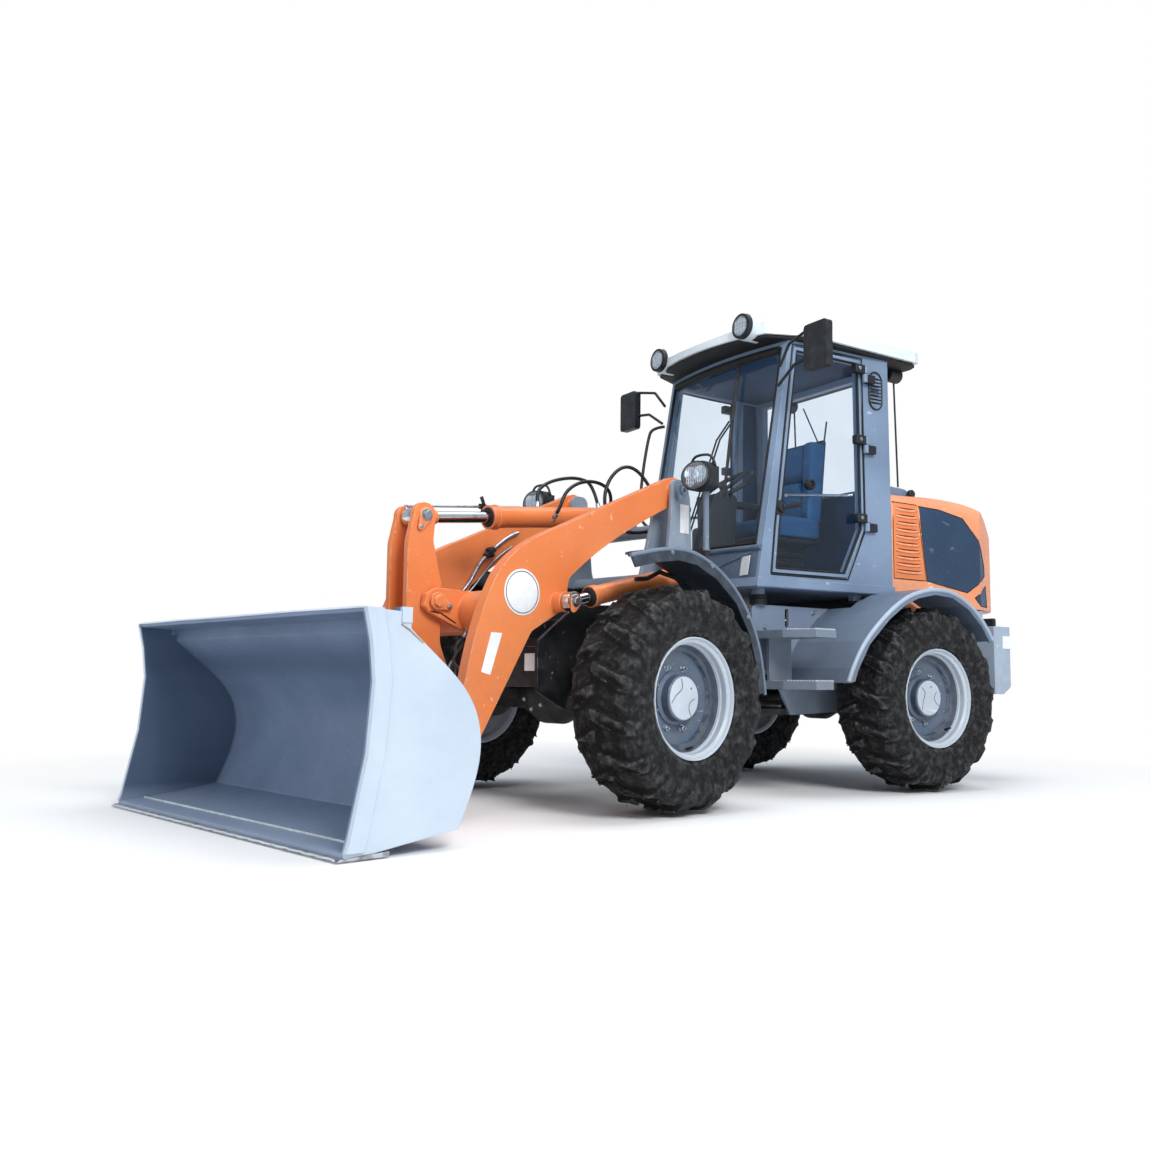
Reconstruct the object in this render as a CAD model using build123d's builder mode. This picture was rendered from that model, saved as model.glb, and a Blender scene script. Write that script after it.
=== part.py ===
from build123d import *
import math
import os

# Compact articulated wheel loader, in millimetres.  Every piece is drawn with the machine straight:
# origin on the ground under the articulation pivot, +X ahead, +Y to the driver's left, +Z up.
# At the end the front half is turned to the parked steering angle and all of it is moved so that the
# origin stands under the middle of the machine.

# ---- driving dimensions ----
WHEELBASE = 2150.0
AXLE_X = WHEELBASE / 2
TYRE_RADIUS = 537.5
TYRE_WIDTH = 405.0
HUB_Z = TYRE_RADIUS
WHEEL_Y = 788.0
RIM_RADIUS = 282.0
PARKED_STEER = 11.0
PIVOT_X = -336.0
PIVOT_Y = -280.0
GAP = 5.0

# pins of the working gear, as (x, z)
ARM_PIN = (615, 1630)
LIFT_BASE = (660, 1175)
LIFT_EYE = (1456, 984)
TILT_BASE = (630, 1532)
LEVER_PIN = (1955, 973)
LEVER_TOP = (2000, 1375)
LEVER_FOOT = (1800, 466)
LINK_EYE = (2016, 466)
BUCKET_PIN = (2050, 330)
CROSS_TUBE = (1720, 930)

# layers across the machine, as distances from the middle
ARM_OUTER = 420.0
ARM_INNER = 360.0
TOWER_INNER = 330.0
TOWER_OUTER = 460.0
LIFT_Y = 515.0
LEVER_OUTER = 85.0
LEVER_INNER = 55.0
FRONT_PLATE_Y = 330.0
REAR_PLATE_Y = 450.0
PLATE = 20.0

FRAME_TOP = 933.0
STEER_BASE = (-550, 240)
STEER_EYE = (80, 200)
STEER_Z = 640.0
HINGE_PLATES = (430, 870)
HINGE_THICK = 35.0
PIN_PLAY = 0.4


def side_plane(y):
    """The upright plane along the machine, y left of its middle, facing right."""
    return Plane.XZ.offset(-y)


def plate(outline, outer, thickness, mode=Mode.ADD):
    """A plate along the machine with the (x, z) outline, its left face at y = outer."""
    with BuildSketch(side_plane(outer)) as shape:
        with BuildLine():
            Polyline(*outline, close=True)
        make_face()
    extrude(shape.sketch, amount=thickness, mode=mode)


def rounded_plate(outline, rounds, outer, thickness, mode=Mode.ADD):
    """A plate whose corners are rounded; rounds pairs a radius with the (x, z) corners that take it.

    The outline is a list of points, or of runs that join end to end: a run of two points is straight
    and a longer one is a smooth curve.
    """
    with BuildSketch(side_plane(outer)) as shape:
        with BuildLine():
            if isinstance(outline[0], tuple):
                Polyline(*outline, close=True)
            else:
                for run in outline:
                    if len(run) == 2:
                        Line(*run)
                    else:
                        Spline(*run)
        make_face()
        for radius, corners in rounds:
            near = [min(shape.vertices(), key=lambda v, x=x, z=z: math.hypot(v.X - x, v.Z - z))
                    for x, z in corners]
            fillet(near, radius)
    extrude(shape.sketch, amount=thickness, mode=mode)


def flat(outline, bottom, thickness, mode=Mode.ADD):
    """A level plate with the (x, y) outline, its underside at z = bottom."""
    with BuildSketch(Plane.XY.offset(bottom)) as shape:
        with BuildLine():
            Polyline(*outline, close=True)
        make_face()
    extrude(shape.sketch, amount=thickness, mode=mode)


def cross_pin(place, y, radius, length, mode=Mode.ADD):
    """A round pin, boss or bore across the machine at place (x, z), its middle at y."""
    with Locations((place[0], y, place[1])):
        Cylinder(radius, length, rotation=(90, 0, 0), mode=mode)


def both_sides():
    """Repeat on the right what stands on the left."""
    mirror(about=Plane.XZ)


def turned(x, y, degrees):
    """The level point (x, y) turned about the articulation pivot."""
    angle = math.radians(degrees)
    return (x * math.cos(angle) - y * math.sin(angle), x * math.sin(angle) + y * math.cos(angle))


# ---- wheels ----
BEAD = 268.0

TYRE_SIDES = 24
LUGS = 16
LUG_ROOT = 508.0
LUG_DROP = 34.0
# side wall as (radius, distance from the tyre's middle): outwards from the tread, then in to the bead
SHOULDER = [(LUG_ROOT, 140), (420, 200)]
WALL = [(BEAD + 4, 148), (420, 200)]
# lug outlines as (along the tread, across it) and (across, radius)
LUG_PLAN = [(-24, -8), (24, -12), (98, 150), (102, 202), (42, 202), (32, 156)]
LUG_PROFILE = [(-20, 400), (-20, TYRE_RADIUS), (150, TYRE_RADIUS), (202, 466), (202, 400)]


def tapered_ring(side, near, far, mode):
    """A many-sided cone about the wheel's axis between two (radius, distance) pairs."""
    with BuildSketch(Plane(origin=(0, side * near[1], 0), z_dir=(0, side, 0))) as ring:
        RegularPolygon(near[0], TYRE_SIDES, major_radius=False)
    taper = math.degrees(math.atan2(near[0] - far[0], far[1] - near[1]))
    extrude(ring.sketch, amount=far[1] - near[1], taper=taper, mode=mode)


with BuildPart(mode=Mode.PRIVATE) as lug:
    with BuildSketch(Plane.XY.offset(LUG_ROOT - LUG_DROP)):
        with BuildLine():
            Polyline(*LUG_PLAN, close=True)
        make_face()
    extrude(amount=100)
    with BuildSketch(Plane.YZ.offset(-150)):
        with BuildLine():
            Polyline(*LUG_PROFILE, close=True)
        make_face()
    extrude(amount=300, mode=Mode.INTERSECT)
    with BuildSketch(Plane.XZ.offset(-TYRE_WIDTH)):
        RegularPolygon(TYRE_RADIUS, TYRE_SIDES)
    extrude(amount=2 * TYRE_WIDTH, mode=Mode.INTERSECT)

with BuildPart() as tyre:
    with BuildSketch(Plane.XZ.offset(-SHOULDER[0][1])):
        RegularPolygon(LUG_ROOT, TYRE_SIDES, major_radius=False)
    extrude(amount=2 * SHOULDER[0][1])
    for side in (1, -1):
        for near, far in zip(SHOULDER, SHOULDER[1:]):
            tapered_ring(side, near, far, Mode.ADD)
        for near, far in zip(WALL, WALL[1:]):
            tapered_ring(side, near, far, Mode.SUBTRACT)
    with BuildSketch(Plane.XZ.offset(-TYRE_WIDTH)):
        RegularPolygon(BEAD, TYRE_SIDES, major_radius=False)
    extrude(amount=2 * TYRE_WIDTH, mode=Mode.SUBTRACT)
    for turn in range(LUGS):
        add(lug.part.rotate(Axis.Y, turn * 360 / LUGS))
        add(lug.part.mirror(Plane.XZ).rotate(Axis.Y, (turn + 0.5) * 360 / LUGS))

# rim section as (radius, distance outboard of the wheel's middle)
RIM_SECTION = [
    (RIM_RADIUS, 166), (RIM_RADIUS, 156), (BEAD - 1, 150), (262, 100), (228, 62), (228, -60), (262, -100),
    (BEAD - 1, -150), (RIM_RADIUS, -156), (RIM_RADIUS, -166), (272, -166), (254, -152), (250, -104),
    (216, -66), (216, 21), (0, 21), (0, 92), (105, 92), (108, 78), (122, 74), (122, 35), (216, 35),
    (216, 66), (250, 104), (254, 152), (272, 166),
]

with BuildPart() as rim:
    with BuildSketch(Plane.XY):
        with BuildLine():
            Polyline(*RIM_SECTION, close=True)
        make_face()
    revolve(axis=Axis.Y)

# ---- axles ----
# housing section as (radius, distance from the middle)
AXLE_SECTION = [(150, 60), (90, 190), (75, 240), (72, 470), (125, 490), (130, 640), (100, 650),
                (100, WHEEL_Y + 21 - GAP)]


def axle(x, towards_pivot, pad_top):
    """A rigid axle housing with its differential, frame pads and input flange."""
    with BuildPart() as housing:
        with BuildSketch(Plane.XY.offset(HUB_Z)):
            with BuildLine():
                half = [(x + r, y) for r, y in AXLE_SECTION]
                Polyline((x, -half[-1][1]), *[(px, -py) for px, py in reversed(half)], *half,
                         (x, half[-1][1]), close=True)
            make_face()
        revolve(axis=Axis((x, 0, HUB_Z), (0, 1, 0)))
        with Locations((x + towards_pivot * 175, 0, HUB_Z)):
            Cylinder(62, 150, rotation=(0, 90, 0))
        if pad_top:
            with Locations((x, 320, pad_top - 35), (x, -320, pad_top - 35)):
                Box(170, 60, 70)
    return housing


# ---- front frame with its lift tower ----
FRONT_SIDE = [
    (120, 402), (120, FRAME_TOP), (420, 960), (515, 1250), (560, 1690), (675, 1690), (690, 1470),
    (735, 1314), (830, 1010), (1250, 985), (1500, 800), (1500, 560), (1320, 470), (1260, 640), (890, 640),
    (850, 402),
]
FRONT_ROUNDS = [(60, [(1500, 800), (1500, 560), (1260, 640), (890, 640)]), (45, [(560, 1690), (675, 1690)]),
                (150, [(420, 960), (830, 1010)])]
TOWER_SIDE = [(505, 1020), (534, 1592), (560, 1690), (675, 1690), (690, 1470), (720, 1200), (720, 1020)]

with BuildPart() as front_frame:
    rounded_plate(FRONT_SIDE, FRONT_ROUNDS, FRONT_PLATE_Y, PLATE)
    rounded_plate(TOWER_SIDE, [(45, [(560, 1690), (675, 1690)])], TOWER_OUTER, PLATE)
    with Locations((610, 385, 1060)):
        Box(190, 2 * (TOWER_OUTER - 385), 80)
    cross_pin(ARM_PIN, (TOWER_INNER + TOWER_OUTER) / 2, 35, 160)
    cross_pin(LIFT_BASE, 490, 20, 110)
    both_sides()
    with Locations((130, 0, 667)):
        Box(PLATE, 2 * FRONT_PLATE_Y, 531)
    with Locations((130, 0, HUB_Z)):
        Cylinder(60, 120, rotation=(0, 90, 0), mode=Mode.SUBTRACT)
    with Locations((130, 200, STEER_Z), (130, -200, STEER_Z)):
        Box(60, 156, 48, mode=Mode.SUBTRACT)
    with Locations((870, 0, 830), (1380, 0, 700)):
        Box(PLATE, 2 * FRONT_PLATE_Y, 240)
    with Locations((1075, 0, 740)):
        Box(390, 2 * FRONT_PLATE_Y, PLATE)
    cross_pin((562, 1440), 0, 36, 2 * FRONT_PLATE_Y)
    cross_pin((610, 1150), 0, 50, 2 * FRONT_PLATE_Y)
    for y in (87, -62):
        plate([(545, 1420), (560, 1545), (600, 1575), (650, 1575), (672, 1532), (650, 1490), (590, 1420)], y, 25)
    cross_pin(TILT_BASE, 0, 22, 190)

# fork plates and pins that carry the rear half, and the lugs of the steering rams
with BuildPart() as front_hinge:
    for level in HINGE_PLATES:
        for z in (level - 28, level + HINGE_THICK + GAP):
            with BuildSketch(Plane.XY.offset(z)):
                Circle(80)
                with BuildLine():
                    Polyline((0, -80), (120, -200), (120, 200), (0, 80), close=True)
                make_face()
            extrude(amount=23)
        with Locations((0, 0, level + HINGE_THICK / 2)):
            Cylinder(32, 110)
    for z in (597, 665):
        for y in (200, -200):
            with Locations((85, y, z + 9)):
                Box(70, 90, 18)

front_axle = axle(AXLE_X, -1, 640)

with BuildPart() as front_shaft:
    with Locations((412, 0, HUB_Z)):
        Cylinder(28, 826, rotation=(0, 90, 0))
    with Locations((0, 0, HUB_Z)):
        Sphere(34)

with BuildPart() as valve_block:
    with Locations((1435, 250, 700)):
        Box(90, 120, 150)

# ---- front fenders ----
FRONT_FENDER = [(480, 560), (500, 720), (560, 880), (680, 1050), (850, 1168), (1010, 1228), (1150, 1240),
                (1320, 1215), (1470, 1178)]
FENDER_THICK = 12.0
FENDER_INNER = 600.0
FENDER_OUTER = 910.0


def skirt(line, hub, share, outer):
    """The turned-in lip of a fender, from its line towards the hub by the share of their distance."""
    inner = [(x + (hub - x) * share, z + (HUB_Z - z) * share) for x, z in reversed(line)]
    plate([*line, *inner], outer, FENDER_THICK)


with BuildPart() as front_fenders:
    with BuildSketch(side_plane(FENDER_OUTER)):
        with BuildLine():
            Polyline(*FRONT_FENDER, *[(x + (AXLE_X - x) * 0.025, z - FENDER_THICK) for x, z in
                                      reversed(FRONT_FENDER)], close=True)
        make_face()
    extrude(amount=FENDER_OUTER - FENDER_INNER)
    skirt(FRONT_FENDER, AXLE_X, 0.09, FENDER_OUTER)
    flat([(1180, 595), (1500, 595), (1500, 885), (1425, 885)], 1000, 300, Mode.SUBTRACT)
    with Locations((580, 470, 900)):
        Box(60, 280, 50)
    both_sides()

with BuildPart() as head_lamps:
    with Locations((605, 630, 1430)):
        Cylinder(14, 380)
    with Locations((600, 548, 1290)):
        Box(40, 176, 24)
    # lamp body with a wide bowl ahead and a narrower back
    with Locations((655, 634, 1680)):
        Box(70, 184, 148)
    fillet(edges().filter_by(Axis.X).filter_by_position(Axis.Z, 1600, 1760), 60)
    with Locations((610, 634, 1680)):
        Box(40, 140, 104)
    with Locations((605, 632, 1640)):
        Box(30, 40, 70)
    both_sides()

# ---- lift arm ----
ARM_SIDE = [
    [(580, 1565), (549, 1600), (545, 1650), (578, 1694), (640, 1705)],
    [(640, 1705), (1423, 1361)],
    [(1423, 1361), (1630, 1267), (1735, 1196), (1811, 1119), (1871, 1016), (1952, 808), (2006, 588)],
    [(2006, 588), (2145, 345)],
    [(2145, 345), (2128, 272), (2050, 235), (1975, 270), (1903, 370)],
    [(1903, 370), (1621, 840)],
    [(1621, 840), (1405, 960)],
    [(1405, 960), (1390, 1101)],
    [(1390, 1101), (1200, 1245), (983, 1377), (665, 1540)],
    [(665, 1540), (580, 1565)],
]
ARM_ROUNDS = [(200, [(2006, 588)]), (70, [(1621, 840), (1390, 1101)]), (40, [(1405, 960)])]
BRACKET_SIDE = [(1640, 960), (1682, 1030), (1955, 1036), (2010, 1005), (2020, 950), (1985, 918), (1760, 830),
                (1680, 840)]

with BuildPart() as lift_arm:
    rounded_plate(ARM_SIDE, ARM_ROUNDS, ARM_OUTER, ARM_OUTER - ARM_INNER)
    cross_pin(ARM_PIN, 385, 62, 96)
    cross_pin(LIFT_EYE, 440, 48, 80)
    cross_pin(BUCKET_PIN, 390, 70, 84)
    rounded_plate(BRACKET_SIDE, [(40, [(1682, 1030), (1955, 1036), (1985, 918), (1680, 840)])], 125, 30)
    both_sides()
    cross_pin(CROSS_TUBE, 0, 105, 2 * ARM_INNER + 20)
    cross_pin(LEVER_PIN, 0, 30, 270)
    cross_pin(ARM_PIN, 0, 35 + PIN_PLAY, 1000, Mode.SUBTRACT)
    cross_pin(BUCKET_PIN, 0, 30 + PIN_PLAY, 1000, Mode.SUBTRACT)

# ---- tilt lever and link ----
LEVER_SIDE = [
    [(1940, 1375), (1957, 1420), (2000, 1437), (2045, 1420), (2062, 1375)],
    [(2062, 1375), (2092, 1248)],
    [(2092, 1248), (2092, 912)],
    [(2092, 912), (2050, 760), (1960, 610), (1858, 450)],
    [(1858, 450), (1835, 415), (1800, 404), (1762, 416), (1740, 455), (1745, 500)],
    [(1745, 500), (1839, 650), (1898, 780)],
    [(1898, 780), (1898, 1058)],
    [(1898, 1058), (1950, 1262)],
    [(1950, 1262), (1940, 1375)],
]
LEVER_ROUNDS = [(90, [(2092, 1248), (1898, 1058), (1950, 1262)])]

with BuildPart() as tilt_lever:
    rounded_plate(LEVER_SIDE, LEVER_ROUNDS, LEVER_OUTER, LEVER_OUTER - LEVER_INNER)
    both_sides()
    cross_pin(LEVER_PIN, 0, 52, 2 * LEVER_OUTER)
    cross_pin(LEVER_FOOT, 0, 25, 2 * LEVER_OUTER + 20)
    for y in (LEVER_OUTER, -LEVER_OUTER):
        cross_pin(LEVER_TOP, y, 38, 16)
    cross_pin(LEVER_PIN, 0, 30 + PIN_PLAY, 400, Mode.SUBTRACT)

with BuildPart() as tilt_link:
    plate([(1800, 421), (1800, 511), (2016, 511), (2016, 421)], 30, 60)
    cross_pin(LEVER_FOOT, 0, 48, 96)
    cross_pin(LINK_EYE, 0, 45, 60)
    cross_pin(LEVER_FOOT, 0, 25 + PIN_PLAY, 200, Mode.SUBTRACT)

# ---- bucket and its coupler ----
BUCKET_HALF = 995.0
BUCKET_SHEET = 16.0
BUCKET_TOP = [(2883, 850), (2696, 840), (2700, 788)]
BUCKET_BACK = [(2700, 788), (2532, 652), (2403, 502), (2374, 372), (2408, 215), (2468, 80)]
BUCKET_FLOOR = [(2468, 80), (2820, 30), (2935, 23)]
BUCKET_FRONT = [(2935, 30), (2925, 60), (2904, 157), (2861, 357), (2842, 604), (2857, 740), (2883, 858)]
CUTTER_WIDTH = 70.0
CUTTER_THICK = 12.0

with BuildPart() as bucket:
    with BuildSketch(side_plane(BUCKET_HALF)):
        with BuildLine() as middle:
            Polyline(*BUCKET_TOP)
            Spline(*BUCKET_BACK)
            Polyline(*BUCKET_FLOOR)
        trace(middle.edges(), line_width=BUCKET_SHEET)
    extrude(amount=2 * BUCKET_HALF)
    with BuildSketch(side_plane(BUCKET_HALF)):
        with BuildLine():
            Polyline(*BUCKET_TOP)
            Spline(*BUCKET_BACK)
            Polyline(*BUCKET_FLOOR)
            Polyline(BUCKET_FLOOR[-1], *BUCKET_FRONT, BUCKET_TOP[0])
        make_face()
    extrude(amount=PLATE)
    # side cutter along the front edge and a wear strip under the side
    with BuildSketch(side_plane(BUCKET_HALF + CUTTER_THICK)):
        with BuildLine():
            Polyline(*BUCKET_FRONT, *[(x - CUTTER_WIDTH, z) for x, z in reversed(BUCKET_FRONT)], close=True)
        make_face()
    extrude(amount=CUTTER_THICK)
    with Locations((2712, BUCKET_HALF - 20, 838)):
        Box(44, 50, 56)
    both_sides()
    for y in (436, -436, 0):
        with BuildSketch(side_plane(y + 12)):
            with BuildLine():
                Spline(*BUCKET_BACK)
                Polyline(BUCKET_BACK[-1], (2352, 120), (2352, 640), (2560, 790), BUCKET_BACK[0])
            make_face()
        extrude(amount=24)

with BuildPart() as cutting_edge:
    plate([(2760, 6), (2760, 24), (2820, 21), (2925, 15), (2950, 15), (2966, 6)], BUCKET_HALF + 4,
          2 * BUCKET_HALF + 8)

with BuildPart() as coupler:
    for y in (TOWER_OUTER + 10, ARM_INNER - 12):
        plate([(1985, 330), (2005, 280), (2050, 262), (2330, 200), (2352, 200), (2352, 560), (2300, 560),
               (2050, 398), (2005, 380)], y, 24)
    plate([(1975, 466), (1990, 430), (2016, 421), (2300, 380), (2352, 380), (2352, 520), (2300, 520),
           (2016, 511), (1990, 500)], 66, 22)
    cross_pin(BUCKET_PIN, 404, 30, 150)
    both_sides()
    cross_pin((2310, 520), 0, 32, 960)
    with Locations((2330, 0, 240)):
        Box(44, 960, 90)

# ---- rams ----


def ram_plane(base, end, eye_axis=(0, 1, 0)):
    """The plane at a ram's base pin, its X along the ram."""
    return Plane(origin=base, x_dir=Vector(*end) - Vector(*base), z_dir=eye_axis)


def barrel(plane, radius, bore, length, eye, eye_width, pin):
    """A ram's barrel: base eye on its pin, tube with the rod's bore, gland at the open end."""
    start = eye + 8
    cap = 14
    with BuildPart(plane) as tube:
        with Locations(((start + length) / 2, 0, 0)):
            Cylinder(radius, length - start, rotation=(0, 90, 0))
        with Locations((length - 20, 0, 0)):
            Cylinder(radius + 6, 40, rotation=(0, 90, 0))
        with Locations((start / 2, 0, 0)):
            Box(start, 1.4 * radius, eye_width)
        with Locations((0, 0, 0)):
            Cylinder(eye, eye_width)
            Cylinder(pin + PIN_PLAY, 2 * eye_width, mode=Mode.SUBTRACT)
        with Locations(((start + cap + length) / 2 + 5, 0, 0)):
            Cylinder(bore + 0.5, length - start - cap + 10, rotation=(0, 90, 0), mode=Mode.SUBTRACT)
    return tube


def rod(plane, reach, radius, length, eye, eye_width):
    """A ram's rod with its closed eye at the reach from the base pin."""
    with BuildPart(plane) as bar:
        with Locations((reach - length / 2, 0, 0)):
            Cylinder(radius, length, rotation=(0, 90, 0))
        with Locations((reach, 0, 0)):
            Cylinder(eye, eye_width)
    return bar


def distance(a, b):
    return math.dist(a, b)


lift_plane = ram_plane((LIFT_BASE[0], LIFT_Y, LIFT_BASE[1]), (LIFT_EYE[0], LIFT_Y, LIFT_EYE[1]))
lift_reach = distance(LIFT_BASE, LIFT_EYE)
with BuildPart() as lift_barrels:
    add(barrel(lift_plane, 47, 27, 698, 42, 44, 20).part)
    mirror(about=Plane.XZ)
with BuildPart() as lift_rods:
    add(rod(lift_plane, lift_reach, 27, 744, 46, 44).part)
    mirror(about=Plane.XZ)

tilt_plane = ram_plane((TILT_BASE[0], 0, TILT_BASE[1]), (LEVER_TOP[0], 0, LEVER_TOP[1]))
tilt_reach = distance(TILT_BASE, LEVER_TOP)
tilt_barrel = barrel(tilt_plane, 55, 28, 933, 45, 80, 22)
tilt_rod = rod(tilt_plane, tilt_reach, 28, 620, 48, 90)



def steer_ram(side):
    """Barrel and rod of one steering ram, at the parked angle; side is 1 on the left, -1 on the right."""
    eye = turned(STEER_EYE[0], side * STEER_EYE[1], PARKED_STEER)
    base = (STEER_BASE[0], side * STEER_BASE[1])
    plane = ram_plane((*base, STEER_Z), (*eye, STEER_Z), (0, 0, 1))
    return barrel(plane, 34, 18, 420, 32, 40, 16), rod(plane, distance(base, eye), 18, 350, 34, 40)


steer_left = steer_ram(1)
steer_right = steer_ram(-1)

# ---- rear frame ----
REAR_SIDE = [(-100, 760), (-100, 1060), (-800, 1060), (-1870, 1000), (-1870, 600), (-1700, 500), (-1260, 500),
             (-1230, 700), (-920, 700), (-890, 450), (-400, 430), (-300, 600)]
REAR_ROUNDS = [(60, [(-1230, 700), (-920, 700), (-890, 450), (-1260, 500)]), (40, [(-300, 600), (-100, 1060)])]

with BuildPart() as rear_frame:
    rounded_plate(REAR_SIDE, REAR_ROUNDS, REAR_PLATE_Y, PLATE)
    with BuildSketch(side_plane(REAR_PLATE_Y)) as tie_down:
        with Locations((-370, 990)):
            SlotOverall(112, 30, rotation=90)
    extrude(tie_down.sketch, amount=PLATE, mode=Mode.SUBTRACT)
    for z in (599, 663):
        with Locations((-564, 325, z + 9)):
            Box(80, 230, 18)
    with Locations((-550, 240, STEER_Z)):
        Cylinder(16, 90)
    both_sides()
    with Locations((-650, 0, 755)):
        Box(PLATE, 880, 280)
    with Locations((-880, 0, 760), (-1270, 0, 760)):
        Box(PLATE, 880, 120)
    with Locations((-1860, 0, 800)):
        Box(PLATE, 880, 380)

# the two hinge plates between the fork plates
with BuildPart() as rear_hinge:
    for level in HINGE_PLATES:
        with BuildSketch(Plane.XY.offset(level)):
            Circle(78)
            with BuildLine():
                Polyline((0, -78), (-330, -430), (-640, -430), (-640, 430), (-330, 430), (0, 78), close=True)
            make_face()
        extrude(amount=HINGE_THICK)
    Cylinder(32 + PIN_PLAY, 4 * TYRE_RADIUS, mode=Mode.SUBTRACT)

rear_axle = axle(-AXLE_X, 1, 0)

with BuildPart() as rear_shaft:
    with Locations((-442, 0, HUB_Z)):
        Cylinder(28, 766, rotation=(0, 90, 0))

# ---- counterweight ----
WEIGHT_SIDE = [(-1875, 560), (-1875, 990), (-2310, 990), (-2360, 940), (-2360, 800), (-2250, 730), (-1960, 560)]
WEIGHT_PLAN = [(-1800, -750), (-1800, 750), (-2040, 750), (-2380, 480), (-2380, -480), (-2040, -750)]
WEIGHT_GROOVE = [(-2060, 950), (-2290, 950), (-2322, 918), (-2322, 800)]


def weight_block(inset):
    """The counterweight's outside, drawn in by the inset on every side."""
    with BuildPart(mode=Mode.PRIVATE) as block:
        with BuildSketch(Plane.XZ):
            with BuildLine():
                Polyline(*WEIGHT_SIDE, close=True)
            make_face()
            if inset:
                offset(amount=-inset, kind=Kind.INTERSECTION)
        extrude(amount=800, both=True)
        with BuildSketch(Plane.XY.offset(500)) as plan:
            with BuildLine():
                Polyline(*WEIGHT_PLAN, close=True)
            make_face()
            fillet([v for v in plan.vertices() if v.X < -2000], 90)
            if inset:
                offset(amount=-inset)
        extrude(amount=700, mode=Mode.INTERSECT)
    return block.part


with BuildPart() as weight_groove:
    with BuildSketch(side_plane(800)) as band:
        with BuildLine() as path:
            Polyline(*WEIGHT_GROOVE)
        trace(path.edges(), line_width=24)
    extrude(band.sketch, amount=1600)
    add(weight_block(14), mode=Mode.SUBTRACT)

with BuildPart() as counterweight:
    add(weight_block(0))
    add(weight_groove.part, mode=Mode.SUBTRACT)
    with BuildSketch(Plane.XY.offset(990)) as riser:
        with BuildLine():
            Polyline((-1890, -590), (-1890, 590), (-1990, 590), (-2322, 300), (-2322, -300), (-1990, -590),
                     close=True)
        make_face()
        fillet([v for v in riser.vertices() if v.X < -1900], 80)
    extrude(riser.sketch, amount=110)
    with Locations((-2370, 0, 750)):
        Box(30, 300, 400, mode=Mode.SUBTRACT)

HITCH_LEVELS = (700, 780)
HITCH_THICK = 20.0
HITCH_BORE = 17.5

with BuildPart() as tow_hitch:
    for level in HITCH_LEVELS:
        flat([(-2355, -70), (-2355, 70), (-2430, 45), (-2430, -45)], level, HITCH_THICK)
    with Locations((-2365, 0, 750)):
        Box(20, 140, 140)
    with Locations((-2400, 0, 750)):
        Cylinder(HITCH_BORE, 200, mode=Mode.SUBTRACT)

with BuildPart() as engine:
    with Locations((-1560, 0, 1060)):
        Box(560, 560, 520)

# ---- hood ----
HOOD_CROWN = [(-1110, 1788), (-1500, 1812), (-1863, 1798), (-2060, 1725), (-2215, 1580), (-2303, 1390),
              (-2335, 1200), (-2338, 1105)]
HOOD_LEVELS = (-1868, 1065)
HOOD_HEART = (-1500, 1250)
HOOD_PLAN = [(-1100, -600), (-1100, 600), (-1960, 600), (-2200, 500), (-2400, 300), (-2400, -300),
             (-2200, -500), (-1960, -600)]
HOOD_SKIN = 15.0
HOOD_SHOULDER = 130.0
LOUVRE_SIDE = [(-1125, 1738), (-1352, 1738), (-1425, 1262), (-1125, 1262)]
PANEL_SIDE = [(-1366, 1732), (-1560, 1728), (-1790, 1692), (-1950, 1560), (-2048, 1404), (-2055, 1335),
              (-1824, 1210), (-1433, 1262)]
LOWER_SIDE = [(-1900, 1180), (-2072, 1272), (-2095, 1130), (-1960, 1130)]
LOUVRES = 10
LOUVRE_PITCH = 43.0
GRILLE_SLATS = 9
GRILLE_PITCH = 45.0


def drawn_in(point, inset):
    """A point of the hood's side outline, moved by the inset towards the hood's heart."""
    gap = [heart - value for value, heart in zip(point, HOOD_HEART)]
    reach = math.hypot(*gap)
    return tuple(value + inset * step / reach for value, step in zip(point, gap))


def hood_block(inset):
    """The hood's outside, drawn in by the inset on every side."""
    crown = [drawn_in(point, 1.1 * inset) for point in HOOD_CROWN]
    crown[0] = (HOOD_CROWN[0][0] - inset, HOOD_CROWN[0][1] - inset)
    crown[-1] = (HOOD_CROWN[-1][0] + inset, HOOD_CROWN[-1][1] + inset)
    tail, sump = HOOD_LEVELS
    with BuildPart(mode=Mode.PRIVATE) as block:
        with BuildSketch(Plane.XZ):
            with BuildLine():
                Spline(*crown)
                Polyline(crown[-1], (tail + inset, crown[-1][1]), (tail + inset, sump + inset),
                         (crown[0][0], sump + inset), crown[0])
            make_face()
        extrude(amount=700, both=True)
        with BuildSketch(Plane.XY.offset(900)):
            with BuildLine():
                Polyline(*HOOD_PLAN, close=True)
            make_face()
            if inset:
                offset(amount=-inset, kind=Kind.INTERSECTION)
        extrude(amount=1100, mode=Mode.INTERSECT)
        with BuildSketch(Plane.YZ.offset(-2500)):
            with Locations((0, 1400)):
                RectangleRounded(1200 - 2 * inset, 850 - 2 * inset, HOOD_SHOULDER - inset)
        extrude(amount=1500, mode=Mode.INTERSECT)
    return block.part


hood_outer = hood_block(0)
hood_inner = hood_block(HOOD_SKIN)

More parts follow.
